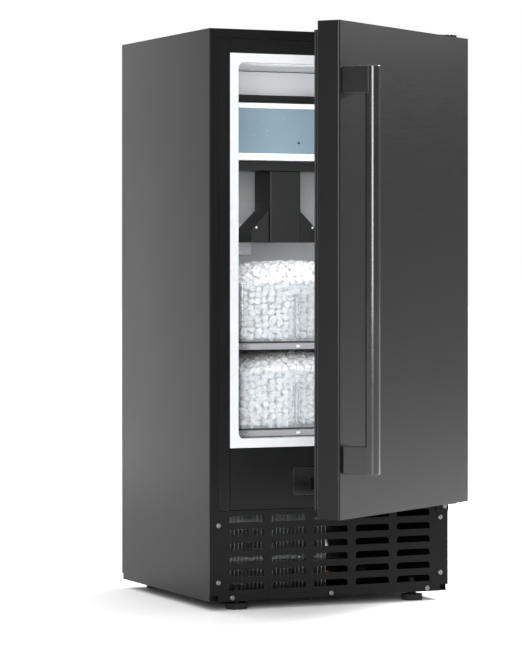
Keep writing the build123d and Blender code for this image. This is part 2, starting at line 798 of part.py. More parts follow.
# ---------------------------------------------------------------- hinges
with BuildPart() as hinge_brackets:
    tongue_left = half_width - 45.0
    tongue_right = half_width - 0.5
    leg_left = half_width - 50.0
    block(
        tongue_left, tongue_right, front_y - hinge_tongue, front_y,
        upper_plate_bottom, upper_plate_bottom + hinge_plate,
    )
    block(
        leg_left, tongue_right, front_y - hinge_plate, front_y,
        top_z - flange_width, upper_plate_bottom + hinge_plate,
    )
    block(
        tongue_left, tongue_right, front_y - hinge_tongue, front_y,
        lower_plate_top - hinge_plate, lower_plate_top,
    )
    block(
        half_width - 20.0, tongue_right, front_y - hinge_plate, front_y,
        hinge_leg_bottom, lower_plate_top,
    )
    tongue_corners = hinge_brackets.edges().filter_by(Axis.Z).group_by(Axis.Y)[0]
    fillet(tongue_corners, 6.0)
    rod(upright(hinge_x, hinge_y, base_z), pin_radius + 0.02, body_height, Mode.SUBTRACT)
    for x, z in upper_hinge_screws + lower_hinge_screws:
        rod(facing_front(x, front_y + 1.0, z), screw_radius + screw_clearance, 8.0, Mode.SUBTRACT)
hinge_brackets.part.label = "hinge_brackets"
export_step(hinge_brackets.part, "parts/hinge_brackets.step")

with BuildPart() as hinge_pins:
    upper_pin_bottom = door_top - pin_depth
    rod(
        upright(hinge_x, hinge_y, upper_pin_bottom), pin_radius,
        upper_plate_bottom + hinge_plate - upper_pin_bottom,
    )
    rod(upright(hinge_x, hinge_y, upper_plate_bottom + hinge_plate), pin_radius + 2.0, 1.8)
    lower_pin_bottom = lower_plate_top - hinge_plate
    rod(
        upright(hinge_x, hinge_y, lower_pin_bottom), pin_radius,
        door_bottom + pin_depth - lower_pin_bottom,
    )
    rod(upright(hinge_x, hinge_y, lower_pin_bottom - 1.8), pin_radius + 2.0, 1.8)
hinge_pins.part.label = "hinge_pins"
export_step(hinge_pins.part, "parts/hinge_pins.step")

# ---------------------------------------------------------------- door, drawn round its hinge axis
with BuildPart() as door_skin:
    with BuildSketch(door_plan(door_bottom)) as skin_section:
        span(door_left, door_right, door_face, door_back)
        fillet(skin_section.vertices(), door_corner)
        offset(amount=-sheet, mode=Mode.SUBTRACT)
        span(
            door_left + door_return, door_right - door_return,
            door_back - sheet - 0.2, door_back + 1.0, mode=Mode.SUBTRACT,
        )
    extrude(amount=door_top - door_bottom)
    for z in (handle_bottom + handle_block_height / 2, handle_top - handle_block_height / 2):
        rod(
            Plane(origin=door_point(handle_x, door_face + 3.0, z), z_dir=door_forward),
            handle_screw_radius + 0.2, 6.0, Mode.SUBTRACT,
        )
door_skin.part.label = "door_skin"
export_step(door_skin.part, "parts/door_skin.step")

with BuildPart() as door_end_caps:
    inset = sheet + panel_gap
    for z in (door_bottom + 0.5, door_top - 0.5 - cap_thickness):
        with BuildSketch(door_plan(z)):
            rounded_span(
                door_left + inset, door_right - inset,
                door_face + inset, door_back - inset, door_corner - sheet,
            )
            Circle(bush_radius + 0.02, mode=Mode.SUBTRACT)
        extrude(amount=cap_thickness)
door_end_caps.part.label = "door_end_caps"
export_step(door_end_caps.part, "parts/door_end_caps.step")

with BuildPart() as door_inner_panel:
    panel_left = door_left + door_return + panel_gap
    panel_right = door_right - door_return - panel_gap
    foam_bottom = door_bottom + 0.5 + cap_thickness + panel_gap
    foam_top = door_top - 0.5 - cap_thickness - panel_gap
    with BuildSketch(door_front(door_back)):
        span(panel_left, panel_right, foam_bottom, foam_top)
    extrude(amount=inner_panel_thickness)
    pan_inset = gasket_inset + gasket_width + 3.0
    with BuildSketch(door_front(door_back)):
        rounded_span(
            door_left + pan_inset, door_right - pan_inset,
            door_bottom + pan_inset, door_top - pan_inset, 12.0,
        )
    extrude(amount=-inner_panel_rise, taper=12.0)
    rise_rim = door_inner_panel.faces().sort_by(Axis((0, 0, 0), door_forward))[0].edges()
    fillet(rise_rim, 2.5)
    with BuildSketch(door_front(door_back + inner_panel_rise - inner_panel_thickness)):
        rounded_span(
            door_left + pan_inset + 4.5, door_right - pan_inset - 4.5,
            door_bottom + pan_inset + 4.5, door_top - pan_inset - 4.5, 8.0,
        )
    extrude(amount=inner_panel_rise, mode=Mode.SUBTRACT)
    for low in (door_bottom - 1.0, door_top - pin_depth - 4.0):
        rod(upright(hinge_x, hinge_y, low), bush_radius + panel_gap, pin_depth + 5.0, Mode.SUBTRACT)
door_inner_panel.part.label = "door_inner_panel"
export_step(door_inner_panel.part, "parts/door_inner_panel.step")

with BuildPart() as door_foam:
    with BuildSketch(door_plan(foam_bottom)):
        rounded_span(
            door_left + inset, door_right - inset,
            door_face + inset, door_back - inner_panel_thickness - panel_gap, door_corner - sheet,
        )
        Circle(bush_radius + 1.0, mode=Mode.SUBTRACT)
    extrude(amount=foam_top - foam_bottom)
    for z in (handle_bottom + handle_block_height / 2, handle_top - handle_block_height / 2):
        rod(
            Plane(origin=door_point(handle_x, door_face + 12.0, z), z_dir=door_forward),
            6.0, 16.0, Mode.SUBTRACT,
        )
door_foam.part.label = "door_foam"
export_step(door_foam.part, "parts/door_foam.step")

with BuildPart() as door_gasket:
    with BuildSketch(door_front(door_back)):
        rounded_span(
            door_left + gasket_inset, door_right - gasket_inset,
            door_bottom + gasket_inset, door_top - gasket_inset, 3.0,
        )
        rounded_span(
            door_left + gasket_inset + gasket_width, door_right - gasket_inset - gasket_width,
            door_bottom + gasket_inset + gasket_width, door_top - gasket_inset - gasket_width,
            2.0, mode=Mode.SUBTRACT,
        )
    extrude(amount=door_back - hinge_reach + gasket_gap)
    with BuildSketch(door_front(door_back + 3.0)):
        rounded_span(
            door_left + gasket_inset - 1.0, door_right - gasket_inset + 1.0,
            door_bottom + gasket_inset - 1.0, door_top - gasket_inset + 1.0, 3.0,
        )
        rounded_span(
            door_left + gasket_inset + 2.0, door_right - gasket_inset - 2.0,
            door_bottom + gasket_inset + 2.0, door_top - gasket_inset - 2.0, 2.0, mode=Mode.SUBTRACT,
        )
    extrude(amount=-2.5, mode=Mode.SUBTRACT)
door_gasket.part.label = "door_gasket"
export_step(door_gasket.part, "parts/door_gasket.step")

with BuildPart() as hinge_bushes:
    for start, outward in ((door_top, 1), (door_bottom, -1)):
        barrel_low = min(start, start - outward * (pin_depth + 2.0))
        rod(upright(hinge_x, hinge_y, barrel_low), bush_radius, pin_depth + 2.0)
        flange_low = min(start, start + outward * bush_flange)
        rod(upright(hinge_x, hinge_y, flange_low), bush_radius + 2.0, bush_flange)
    bore_ends = (
        (door_top - pin_depth - 0.4, door_top + 2.0),
        (door_bottom - 2.0, door_bottom + pin_depth + 0.4),
    )
    for low, high in bore_ends:
        rod(upright(hinge_x, hinge_y, low), pin_radius + running_clearance, high - low, Mode.SUBTRACT)
hinge_bushes.part.label = "hinge_bushes"
export_step(hinge_bushes.part, "parts/hinge_bushes.step")

with BuildPart() as handle_bar:
    with BuildSketch(door_plan(handle_bottom)):
        with Locations((handle_x, handle_y)):
            Circle(handle_radius)
    extrude(amount=handle_length)
    chamfer(handle_bar.edges().filter_by(GeomType.CIRCLE), 0.8)
handle_bar.part.label = "handle_bar"
export_step(handle_bar.part, "parts/handle_bar.step")

with BuildPart() as handle_brackets:
    for z in (handle_bottom, handle_top - handle_block_height):
        with BuildSketch(door_plan(z)):
            span(
                handle_x - handle_block_width / 2, handle_x + handle_block_width / 2,
                handle_y, door_face,
            )
            with Locations((handle_x, handle_y)):
                Circle(handle_radius + 0.02, mode=Mode.SUBTRACT)
        extrude(amount=handle_block_height)
    for z in (handle_bottom + handle_block_height / 2, handle_top - handle_block_height / 2):
        rod(
            Plane(origin=door_point(handle_x, door_face + 3.0, z), z_dir=door_forward),
            handle_screw_radius + 0.02, 19.0, Mode.SUBTRACT,
        )
handle_brackets.part.label = "handle_brackets"
export_step(handle_brackets.part, "parts/handle_brackets.step")

with BuildPart() as handle_screws:
    for z in (handle_bottom + handle_block_height / 2, handle_top - handle_block_height / 2):
        rod(
            Plane(origin=door_point(handle_x, door_face + sheet + 0.1, z), z_dir=door_forward),
            handle_screw_radius, 16.0,
        )
        rod(
            Plane(origin=door_point(handle_x, door_face + sheet + 4.0, z), z_dir=door_forward),
            handle_screw_radius + 2.2, 3.8,
        )
handle_screws.part.label = "handle_screws"
export_step(handle_screws.part, "parts/handle_screws.step")

# ---------------------------------------------------------------- bins and shelves
for name, rise in (("lower", lower_bin_rise), ("upper", upper_bin_rise)):
    bin_bottom = cavity_bottom + rise
    bin_top = bin_bottom + bin_height
    pull_top = bin_top - pull_drop
    with BuildPart() as ice_bin:
        with BuildSketch(plan(bin_bottom)):
            rounded_span(-bin_half_width, bin_half_width, bin_front, bin_back, bin_corner)
        extrude(amount=bin_height)
        fillet(ice_bin.faces().sort_by(Axis.Z)[0].edges(), 5.0)
        with BuildSketch(plan(bin_top - bin_rim_height)):
            rounded_span(
                -bin_half_width - bin_rim, bin_half_width + bin_rim,
                bin_front - bin_rim, bin_back + bin_rim, bin_corner + bin_rim,
            )
        extrude(amount=bin_rim_height)
        with BuildSketch(plan(bin_bottom + bin_wall)):
            rounded_span(
                -bin_half_width + bin_wall, bin_half_width - bin_wall,
                bin_front + bin_wall, bin_back - bin_wall, bin_corner - bin_wall,
            )
        extrude(amount=bin_height, mode=Mode.SUBTRACT)
        with BuildSketch(front_view(bin_front + pull_depth + bin_wall)):
            with Locations((0, pull_top - pull_height / 2)):
                RectangleRounded(
                    pull_width + 2 * bin_wall, pull_height + 2 * bin_wall, pull_corner + bin_wall
                )
        extrude(amount=pull_depth + bin_wall / 2)
        with BuildSketch(front_view(bin_front + pull_depth)):
            with Locations((0, pull_top - pull_height / 2)):
                RectangleRounded(pull_width, pull_height, pull_corner)
        extrude(amount=pull_depth + bin_wall, mode=Mode.SUBTRACT)
    ice_bin.part.label = f"{name}_bin"
    export_step(ice_bin.part, f"parts/{name}_bin.step")

with BuildPart() as bin_shelves:
    shelf_front = bin_front - bin_rim
    shelf_back = cavity_back - 12.0
    for rise, side_gap in ((lower_bin_rise, 0.6 * liner_corner), (upper_bin_rise, panel_gap)):
        shelf_top = cavity_bottom + rise - bin_float
        shelf_half = cavity_x - side_gap
        block(-shelf_half, shelf_half, shelf_front, shelf_back, shelf_top - shelf_height, shelf_top)
        block(
            -shelf_half + shelf_wall, shelf_half - shelf_wall,
            shelf_front + shelf_wall, shelf_back - shelf_wall,
            shelf_top - shelf_height, shelf_top - shelf_wall, Mode.SUBTRACT,
        )
    fillet(bin_shelves.edges().filter_by(Axis.X).group_by(Axis.Y)[0], 1.0)
bin_shelves.part.label = "bin_shelves"
export_step(bin_shelves.part, "parts/bin_shelves.step")

# ---------------------------------------------------------------- curtain
with BuildPart() as water_curtain:
    block(
        -curtain_half + 2.0, curtain_half - 2.0,
        curtain_y - curtain_thickness / 2, curtain_y + curtain_thickness / 2,
        curtain_bottom, mould_top,
    )
    for x in (-curtain_half / 2, 0.0, curtain_half / 2):
        block(
            x - 0.8, x + 0.8,
            curtain_y + curtain_thickness / 2, curtain_y + curtain_thickness / 2 + 1.5,
            curtain_bottom, mould_top,
        )
water_curtain.part.label = "water_curtain"
export_step(water_curtain.part, "parts/water_curtain.step")

with BuildPart() as curtain_bars:
    bar_front = curtain_y - bar_thickness / 2
    bar_back = curtain_y + bar_thickness / 2
    block(-curtain_half, curtain_half, bar_front, bar_back, mould_top, mould_top + top_bar_height)
    block(
        -curtain_half, curtain_half, bar_front, bar_back,
        curtain_bottom - bottom_bar_height, curtain_bottom,
    )
    fillet(curtain_bars.edges().filter_by(Axis.X), 1.0)
    for side in (-1, 1):
        start = side * curtain_half if side > 0 else -curtain_half - cheek_thickness
        rod(sideways(start, curtain_y, curtain_axis_z), curtain_pin_radius, cheek_thickness)
curtain_bars.part.label = "curtain_bars"
export_step(curtain_bars.part, "parts/curtain_bars.step")

with BuildPart() as curtain_cheeks:
    for side in (-1, 1):
        inner_face = side * (curtain_half + 1.0)
        outer_face = side * (curtain_half + 1.0 + cheek_thickness)
        block(
            inner_face, outer_face,
            curtain_y - 7.0, coil_y + 14.0,
            mould_bottom - 4.0, cavity_top - trim_drop - trim_height - panel_gap,
        )
        block(
            outer_face, side * (cavity_x - panel_gap),
            mould_front, coil_y + 14.0,
            mould_bottom - 4.0, mould_bottom,
        )
    rod(
        sideways(-cavity_x, curtain_y, curtain_axis_z), curtain_pin_radius + running_clearance,
        2 * cavity_x, Mode.SUBTRACT,
    )
curtain_cheeks.part.label = "curtain_cheeks"
export_step(curtain_cheeks.part, "parts/curtain_cheeks.step")

with BuildPart() as evaporator_trim:
    trim_top = cavity_top - trim_drop
    block(
        -cavity_x + panel_gap, cavity_x - panel_gap,
        curtain_y - 3.0, curtain_y + 9.0, trim_top - trim_height, trim_top,
    )
    fillet(evaporator_trim.edges().filter_by(Axis.X).group_by(Axis.Y)[0], 1.0)
evaporator_trim.part.label = "evaporator_trim"
export_step(evaporator_trim.part, "parts/evaporator_trim.step")

with BuildPart() as evaporator_cover:
    cover_front = front_y + 160.0
    with BuildSketch(front_view(cover_front + 2.0)) as cover_outline:
        span(-cavity_x + 1.0, cavity_x - 1.0, trim_top + panel_gap, cavity_top - 1.0)
        fillet(cover_outline.vertices().group_by(Axis.Y)[-1], liner_corner)
    extrude(amount=2.0)
    top_flange_x = cavity_x - liner_corner - 2.0
    block(-top_flange_x, top_flange_x, cover_front, cover_front + 30.0, cavity_top - 3.0, cavity_top - 1.0)
    block(
        -top_flange_x, top_flange_x,
        cover_front, cover_front + 40.0,
        trim_top + panel_gap, trim_top + 2.0,
    )
evaporator_cover.part.label = "evaporator_cover"
export_step(evaporator_cover.part, "parts/evaporator_cover.step")

# ---------------------------------------------------------------- ice mould and water parts
with BuildPart() as ice_mould:
    mould_half = curtain_half - 8.0
    cell_pitch_x = (2 * mould_half - mould_web) / mould_cells_across
    cell_pitch_z = (mould_height - mould_web) / mould_cells_up
    with BuildSketch(front_view(mould_front + mould_depth)):
        span(-mould_half, mould_half, mould_bottom, mould_top)
    extrude(amount=mould_depth)
    with BuildSketch(front_view(mould_front)):
        with Locations((0, (mould_bottom + mould_top) / 2)):
            with GridLocations(cell_pitch_x, cell_pitch_z, mould_cells_across, mould_cells_up):
                RectangleRounded(cell_pitch_x - mould_web, cell_pitch_z - mould_web, 3.0)
    extrude(amount=-(mould_depth - 2.0), mode=Mode.SUBTRACT, taper=4.0)
ice_mould.part.label = "ice_mould"
export_step(ice_mould.part, "parts/ice_mould.step")

coil_reach = liquid_x - 14.0 - panel_gap
coil_points = [(suction_x - 14.0 - panel_gap, coil_y, suction_z)]
for row in range(coil_rows - 1, -1, -1):
    far_x = coil_reach if (coil_rows - row) % 2 == 0 else -coil_reach
    row_z = coil_bottom + row * coil_pitch
    coil_points.append((far_x, coil_y, row_z))
    if row > 0:
        coil_points.append((far_x, coil_y, row_z - coil_pitch))
evaporator_coil = make_tube(coil_points, coil_pitch * 0.45, tube_radius)
evaporator_coil.part.label = "evaporator_coil"
export_step(evaporator_coil.part, "parts/evaporator_coil.step")

with BuildPart() as water_distributor:
    rod(sideways(-mould_half, distributor_y, distributor_z), 7.0, 2 * mould_half)
    inner_start = sideways(-mould_half + 2.0, distributor_y, distributor_z)
    rod(inner_start, 5.0, 2 * mould_half - 4.0, Mode.SUBTRACT)
    with Locations((0, distributor_y, distributor_z - 6.0)):
        with GridLocations(cell_pitch_x, 1, mould_cells_across, 1):
            Cylinder(1.2, 6.0, mode=Mode.SUBTRACT)
    rod(facing_back(0, distributor_y + 6.0, distributor_z), 5.0, 10.0)
    rod(facing_back(0, distributor_y, distributor_z), 3.0, 20.0, Mode.SUBTRACT)
water_distributor.part.label = "water_distributor"
export_step(water_distributor.part, "parts/water_distributor.step")

with BuildPart() as water_tray:
    tray_half = cavity_x - panel_gap
    tray_front = front_y + curtain_plane
    with BuildSketch(side_view(-tray_half)):
        span(tray_front, tray_front + tray_depth, tray_bottom, tray_top)
    extrude(amount=2 * tray_half)
    block(
        -tray_half + tray_wall, tray_half - tray_wall,
        tray_front + tray_wall, tray_front + tray_depth - tray_wall,
        tray_bottom + tray_wall, tray_top, Mode.SUBTRACT,
    )
    rod(upright(0, column_front + column_depth / 2, tray_bottom - 1.0), 8.0, 4.0, Mode.SUBTRACT)
    fillet(water_tray.edges().filter_by(Axis.X).group_by(Axis.Y)[0], 1.0)
water_tray.part.label = "water_tray"
export_step(water_tray.part, "parts/water_tray.step")

with BuildPart() as pump_housing:
    wing_front = column_front + 4.0
    column_top = tray_bottom - panel_gap
    with BuildSketch(front_view(column_back)):
        span(-column_half_width, column_half_width, sump_bottom, column_top)
        with BuildLine():
            Polyline(
                (-sump_half_width, sump_bottom),
                (sump_half_width, sump_bottom),
                (sump_half_width, sump_shoulder),
                (column_half_width, sump_neck),
                (-column_half_width, sump_neck),
                (-sump_half_width, sump_shoulder),
                close=True,
            )
        make_face()
    extrude(amount=column_back - wing_front)
    with BuildSketch(front_view(column_back - tray_wall)):
        span(
            -column_half_width + tray_wall, column_half_width - tray_wall,
            sump_bottom + tray_wall, column_top + 1.0,
        )
        with BuildLine():
            Polyline(
                (-sump_half_width + tray_wall, sump_bottom + tray_wall),
                (sump_half_width - tray_wall, sump_bottom + tray_wall),
                (sump_half_width - tray_wall, sump_shoulder - 1.0),
                (column_half_width - tray_wall, sump_neck - 1.0),
                (-column_half_width + tray_wall, sump_neck - 1.0),
                (-sump_half_width + tray_wall, sump_shoulder - 1.0),
                close=True,
            )
        make_face()
    extrude(amount=column_back - wing_front - 2 * tray_wall, mode=Mode.SUBTRACT)
    rod(facing_back(0, column_back - 5.0, sump_neck - 14.0), 5.2, 8.0, Mode.SUBTRACT)
pump_housing.part.label = "pump_housing"
export_step(pump_housing.part, "parts/pump_housing.step")

with BuildPart() as pump_cover:
    with BuildSketch(plan(sump_bottom)) as cover_section:
        span(-column_half_width, column_half_width, column_front, wing_front - panel_gap)
        fillet(cover_section.vertices().group_by(Axis.Y)[0], 2.0)
    extrude(amount=column_top - sump_bottom)
pump_cover.part.label = "pump_cover"
export_step(pump_cover.part, "parts/pump_cover.step")

with BuildPart() as water_pump:
    pump_y = (wing_front + column_back) / 2
    rod(upright(0, pump_y, sump_bottom + tray_wall + 1.0), 20.0, 20.0)
    rod(upright(0, pump_y, sump_bottom + tray_wall + 21.0), 15.0, 44.0)
    rod(facing_back(0, pump_y + 10.0, sump_neck - 14.0), 3.0, column_back - pump_y - 12.0)
    fillet(water_pump.edges().filter_by(GeomType.CIRCLE).group_by(Axis.Z)[-1], 2.0)
water_pump.part.label = "water_pump"
export_step(water_pump.part, "parts/water_pump.step")

hose_y = column_back + 18.0
with BuildPart() as water_hoses:
    add(make_tube(
        [
            (0, column_back - 1.5, sump_neck - 14.0),
            (0, hose_y, sump_neck - 14.0),
            (0, hose_y, distributor_z),
            (0, distributor_y + 16.0 + panel_gap, distributor_z),
        ],
        10.0, 5.0,
    ).part)
    add(make_tube(inlet_path, 5.8, tube_radius).part)
    add(make_tube(
        [
            (drain_x, drain_y, cavity_bottom - 0.5),
            (drain_x, drain_y, outlet_z),
            (drain_x, back_y + outlet_stub, outlet_z),
        ],
        18.0, outlet_radius - 1.0,
    ).part)
    rod(facing_back(drain_x, back_y + 1.0, outlet_z), outlet_radius, outlet_stub - 1.0)
water_hoses.part.label = "water_hoses"
export_step(water_hoses.part, "parts/water_hoses.step")

with BuildPart() as water_inlet_valve:
    block(
        inlet_x - 20.0, inlet_x + 20.0, back_y - 48.0, back_y - 12.0,
        inlet_z - 18.0, inlet_z + 18.0 - panel_gap,
    )
    fillet(water_inlet_valve.edges().filter_by(Axis.Z), 3.0)
    rod(facing_back(inlet_x, back_y - 12.0, inlet_z), inlet_thread_radius - 1.2, 12.5)
    rod(facing_back(inlet_x, back_y + 0.5, inlet_z), inlet_thread_radius, outlet_stub - 0.5)
    inlet_bore = facing_back(inlet_x, back_y - 8.0, inlet_z)
    rod(inlet_bore, inlet_thread_radius - 3.0, 12.0 + outlet_stub, Mode.SUBTRACT)
    rod(upright(inlet_x - 10.0, back_y - 30.0, inlet_z - 34.0), 9.0, 16.0)
water_inlet_valve.part.label = "water_inlet_valve"
export_step(water_inlet_valve.part, "parts/water_inlet_valve.step")

with BuildPart() as ice_level_sensor:
    block(-60.0, -8.0, cavity_back - 20.0, cavity_back - panel_gap, sump_bottom - 18.0, sump_bottom + 30.0)
    fillet(ice_level_sensor.edges().filter_by(Axis.Y), 3.0)
ice_level_sensor.part.label = "ice_level_sensor"
export_step(ice_level_sensor.part, "parts/ice_level_sensor.step")

# ---------------------------------------------------------------- machine compartment
with BuildPart() as compressor:
    with BuildSketch(plan(compressor_bottom)):
        with Locations((compressor_x, compressor_y)):
            RectangleRounded(compressor_width, compressor_depth, compressor_depth / 2 - 4.0)
    extrude(amount=compressor_height)
    fillet(compressor.faces().sort_by(Axis.Z)[-1].edges(), 26.0)
    fillet(compressor.faces().sort_by(Axis.Z)[0].edges(), 16.0)
    seam_z = compressor_bottom + compressor_height * 0.55
    with BuildSketch(plan(seam_z)):
        with Locations((compressor_x, compressor_y)):
            RectangleRounded(compressor_width + 5.0, compressor_depth + 5.0, compressor_depth / 2 - 2.0)
    extrude(amount=3.0)
    block(
        compressor_x - compressor_width / 2 - 8.0, compressor_x + compressor_width / 2 + 8.0,
        compressor_y - 40.0, compressor_y + 40.0,
        compressor_bottom - 2.5, compressor_bottom + 0.5,
    )
    with Locations((compressor_x, compressor_y, compressor_bottom)):
        with GridLocations(compressor_width, 64.0, 2, 2):
            Hole(5.05, 10.0)
compressor.part.label = "compressor"
export_step(compressor.part, "parts/compressor.step")

with BuildPart() as compressor_grommets:
    with Locations((compressor_x, compressor_y, pan_top)):
        with GridLocations(compressor_width, 64.0, 2, 2):
            Cylinder(9.0, compressor_lift - 2.7, align=(Align.CENTER, Align.CENTER, Align.MIN))
            Cylinder(5.0, compressor_lift + 4.0, align=(Align.CENTER, Align.CENTER, Align.MIN))
compressor_grommets.part.label = "compressor_grommets"
export_step(compressor_grommets.part, "parts/compressor_grommets.step")

row_heights = [first_row_z + row * row_pitch for row in range(condenser_rows)]
with BuildPart() as condenser:
    fin_count = int((condenser_width - fin_thickness) / fin_pitch) + 1
    first_fin_x = (condenser_left + condenser_right - (fin_count - 1) * fin_pitch - fin_thickness) / 2
    for fin in range(fin_count):
        with BuildSketch(side_view(first_fin_x + fin * fin_pitch)):
            span(condenser_front, condenser_back, condenser_bottom, condenser_top)
            with Locations(*[(condenser_mid_y, z) for z in row_heights]):
                Circle(tube_radius + 0.05, mode=Mode.SUBTRACT)
        extrude(amount=fin_thickness)
condenser_points = [(condenser_right + 10.0, condenser_mid_y, row_heights[-1])]
for row in range(condenser_rows - 1, -1, -1):
    at_left = (condenser_rows - row) % 2 == 1
    turn_x = condenser_left - 8.0 if at_left else condenser_right + 8.0
    if row > 0:
        condenser_points.append((turn_x, condenser_mid_y, row_heights[row]))
        condenser_points.append((turn_x, condenser_mid_y, row_heights[row - 1]))
last_turn_left = condenser_points[-1][0] < condenser_left
condenser_end_x = condenser_right + 10.0 if last_turn_left else condenser_left - 10.0
condenser_points.append((condenser_end_x, condenser_mid_y, row_heights[0]))
condenser_tube = make_tube(condenser_points, row_pitch * 0.45, tube_radius)
with condenser:
    add(condenser_tube.part)
condenser.part.label = "condenser"
export_step(condenser.part, "parts/condenser.step")

with BuildPart() as fan_shroud:
    with BuildSketch(front_view(shroud_back)):
        span(condenser_left, condenser_right, condenser_bottom, condenser_top)
        with Locations((fan_x, fan_z)):
            Circle(fan_opening, mode=Mode.SUBTRACT)
    extrude(amount=1.8)
    motor_arm_y = shroud_back + 24.0
    for side in (-1, 1):
        block(
            fan_x + side * (fan_opening + 2.0), fan_x + side * (fan_opening + 5.0),
            shroud_back, motor_arm_y, fan_z - 5.0, fan_z + 5.0,
        )
    block(
        fan_x - fan_opening - 5.0, fan_x + fan_opening + 5.0,
        motor_arm_y, motor_arm_y + 3.0, fan_z - 5.0, fan_z + 5.0,
    )
    rod(facing_back(fan_x, shroud_back, fan_z), 10.0, 40.0, Mode.SUBTRACT)
    block(
        fan_x - 9.0, fan_x + 9.0,
        shroud_back, shroud_back + 40.0,
        fan_z - 5.5, fan_z + 5.5, Mode.SUBTRACT,
    )
fan_shroud.part.label = "fan_shroud"
export_step(fan_shroud.part, "parts/fan_shroud.step")

with BuildPart() as fan_motor:
    motor_front = motor_arm_y - 8.0
    rod(facing_back(fan_x, motor_front, fan_z), 9.8, 34.0)
    rod(facing_back(fan_x, motor_arm_y + 3.2, fan_z), 18.0, 20.0)
    rod(facing_back(fan_x, motor_front - 1.0, fan_z), 2.0 + running_clearance, 20.0, Mode.SUBTRACT)
    fillet(fan_motor.edges().filter_by(GeomType.CIRCLE).group_by(Axis.Y)[-1], 1.5)
fan_motor.part.label = "fan_motor"
export_step(fan_motor.part, "parts/fan_motor.step")

with BuildPart() as fan_blade:
    hub_front = shroud_back - 1.0
    hub_length = 12.0
    rod(facing_back(fan_x, hub_front, fan_z), 12.0, hub_length)
    shaft_length = motor_front + 16.0 - hub_front - hub_length
    rod(facing_back(fan_x, hub_front + hub_length, fan_z), 2.0, shaft_length)
    for blade in range(5):
        angle = blade * 72.0
        blade_axis = (cos(radians(angle)), 0.0, sin(radians(angle)))
        lean = radians(35.0)
        blade_across = (
            -sin(radians(angle)) * cos(lean), sin(lean), cos(radians(angle)) * cos(lean)
        )
        with BuildSketch(
            Plane(
                origin=(
                    fan_x + 10.0 * blade_axis[0],
                    hub_front + hub_length / 2,
                    fan_z + 10.0 * blade_axis[2],
                ),
                x_dir=blade_across, z_dir=blade_axis,
            )
        ):
            SlotOverall(15.0, 1.6)
        extrude(amount=fan_radius - 11.0)
fan_blade.part.label = "fan_blade"
export_step(fan_blade.part, "parts/fan_blade.step")

with BuildPart() as filter_drier:
    with BuildSketch(Plane(origin=(drier_x, drier_mid_y, first_row_z), x_dir=(1, 0, 0), z_dir=(0, 0, 1))):
        with BuildLine():
            Polyline(
                (0, -38), (tube_radius, -38), (tube_radius, -32), (drier_radius, -24),
                (drier_radius, 24), (tube_radius, 32), (tube_radius, 38), (0, 38), close=True,
            )
        make_face()
    revolve(axis=Axis((drier_x, drier_mid_y, first_row_z), (0, 1, 0)))
with BuildPart() as copper_pipes:
    add(filter_drier.part)
    add(make_tube(suction_path, 12.0, tube_radius).part)
    add(make_tube(
        [(x, y, z) if index else (x, y + panel_gap, z) for index, (x, y, z) in enumerate(liquid_path)],
        6.0, tube_radius,
    ).part)
    discharge_x = compressor_x - 28.0
    add(make_tube(
        [
            (discharge_x, compressor_y - 14.0, compressor_top + 0.2),
            (discharge_x, compressor_y - 14.0, compressor_top + 14.0),
            (drier_x, condenser_mid_y, compressor_top + 14.0),
            (drier_x, condenser_mid_y, row_heights[-1]),
            (condenser_right + 10.0 + panel_gap, condenser_mid_y, row_heights[-1]),
        ],
        8.0, tube_radius,
    ).part)
    add(make_tube(
        [
            (condenser_end_x + panel_gap, condenser_mid_y, row_heights[0]),
            (drier_x, condenser_mid_y, row_heights[0]),
            (drier_x, drier_mid_y - 38.0 - panel_gap, row_heights[0]),
        ],
        10.0, tube_radius,
    ).part)
copper_pipes.part.label = "copper_pipes"
export_step(copper_pipes.part, "parts/copper_pipes.step")

with BuildPart() as cord_gland:
    rod(facing_back(gland_x, back_y - 14.0, gland_z), gland_radius - 1.5, 18.0)
    with BuildSketch(Plane(origin=(gland_x, back_y + 0.2, gland_z), x_dir=(1, 0, 0), z_dir=(0, 1, 0))):
        RegularPolygon(gland_radius + 2.0, 6)
    extrude(amount=6.0)
    with BuildSketch(facing_front(gland_x, back_y - sheet - 0.2, gland_z)):
        RegularPolygon(gland_radius + 2.0, 6)
    extrude(amount=5.0)
    rod(facing_back(gland_x, back_y + 6.2, gland_z), gland_radius, 9.0)
    fillet(cord_gland.edges().filter_by(GeomType.CIRCLE).group_by(Axis.Y)[-1], 3.0)
    rod(facing_back(gland_x, back_y - 20.0, gland_z), cord_hole_radius, 50.0, Mode.SUBTRACT)
cord_gland.part.label = "cord_gland"
export_step(cord_gland.part, "parts/cord_gland.step")
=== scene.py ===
"""Undercounter ice maker: cabinet, door, bins, water curtain and machine parts round its frame."""
import json
import math
import random

import bmesh
import bpy
from bpy.props import FloatProperty, FloatVectorProperty, IntProperty, PointerProperty
from mathutils import Matrix, Vector


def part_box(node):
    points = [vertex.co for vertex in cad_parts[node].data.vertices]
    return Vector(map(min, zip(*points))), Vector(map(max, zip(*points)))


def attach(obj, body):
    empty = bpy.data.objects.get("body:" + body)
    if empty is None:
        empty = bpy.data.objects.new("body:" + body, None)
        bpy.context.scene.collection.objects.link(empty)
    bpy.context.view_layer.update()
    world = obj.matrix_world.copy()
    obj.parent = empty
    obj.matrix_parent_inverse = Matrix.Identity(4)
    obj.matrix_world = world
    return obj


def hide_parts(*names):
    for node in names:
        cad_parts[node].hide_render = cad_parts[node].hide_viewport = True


bl_info = {
    "name": "Ice maker",
    "version": (1, 0, 0),
    "blender": (4, 5, 0),
    "location": "3D View > Sidebar > Ice maker",
    "description": "Builds an undercounter ice maker round its packed frame",
    "category": "Object",
}

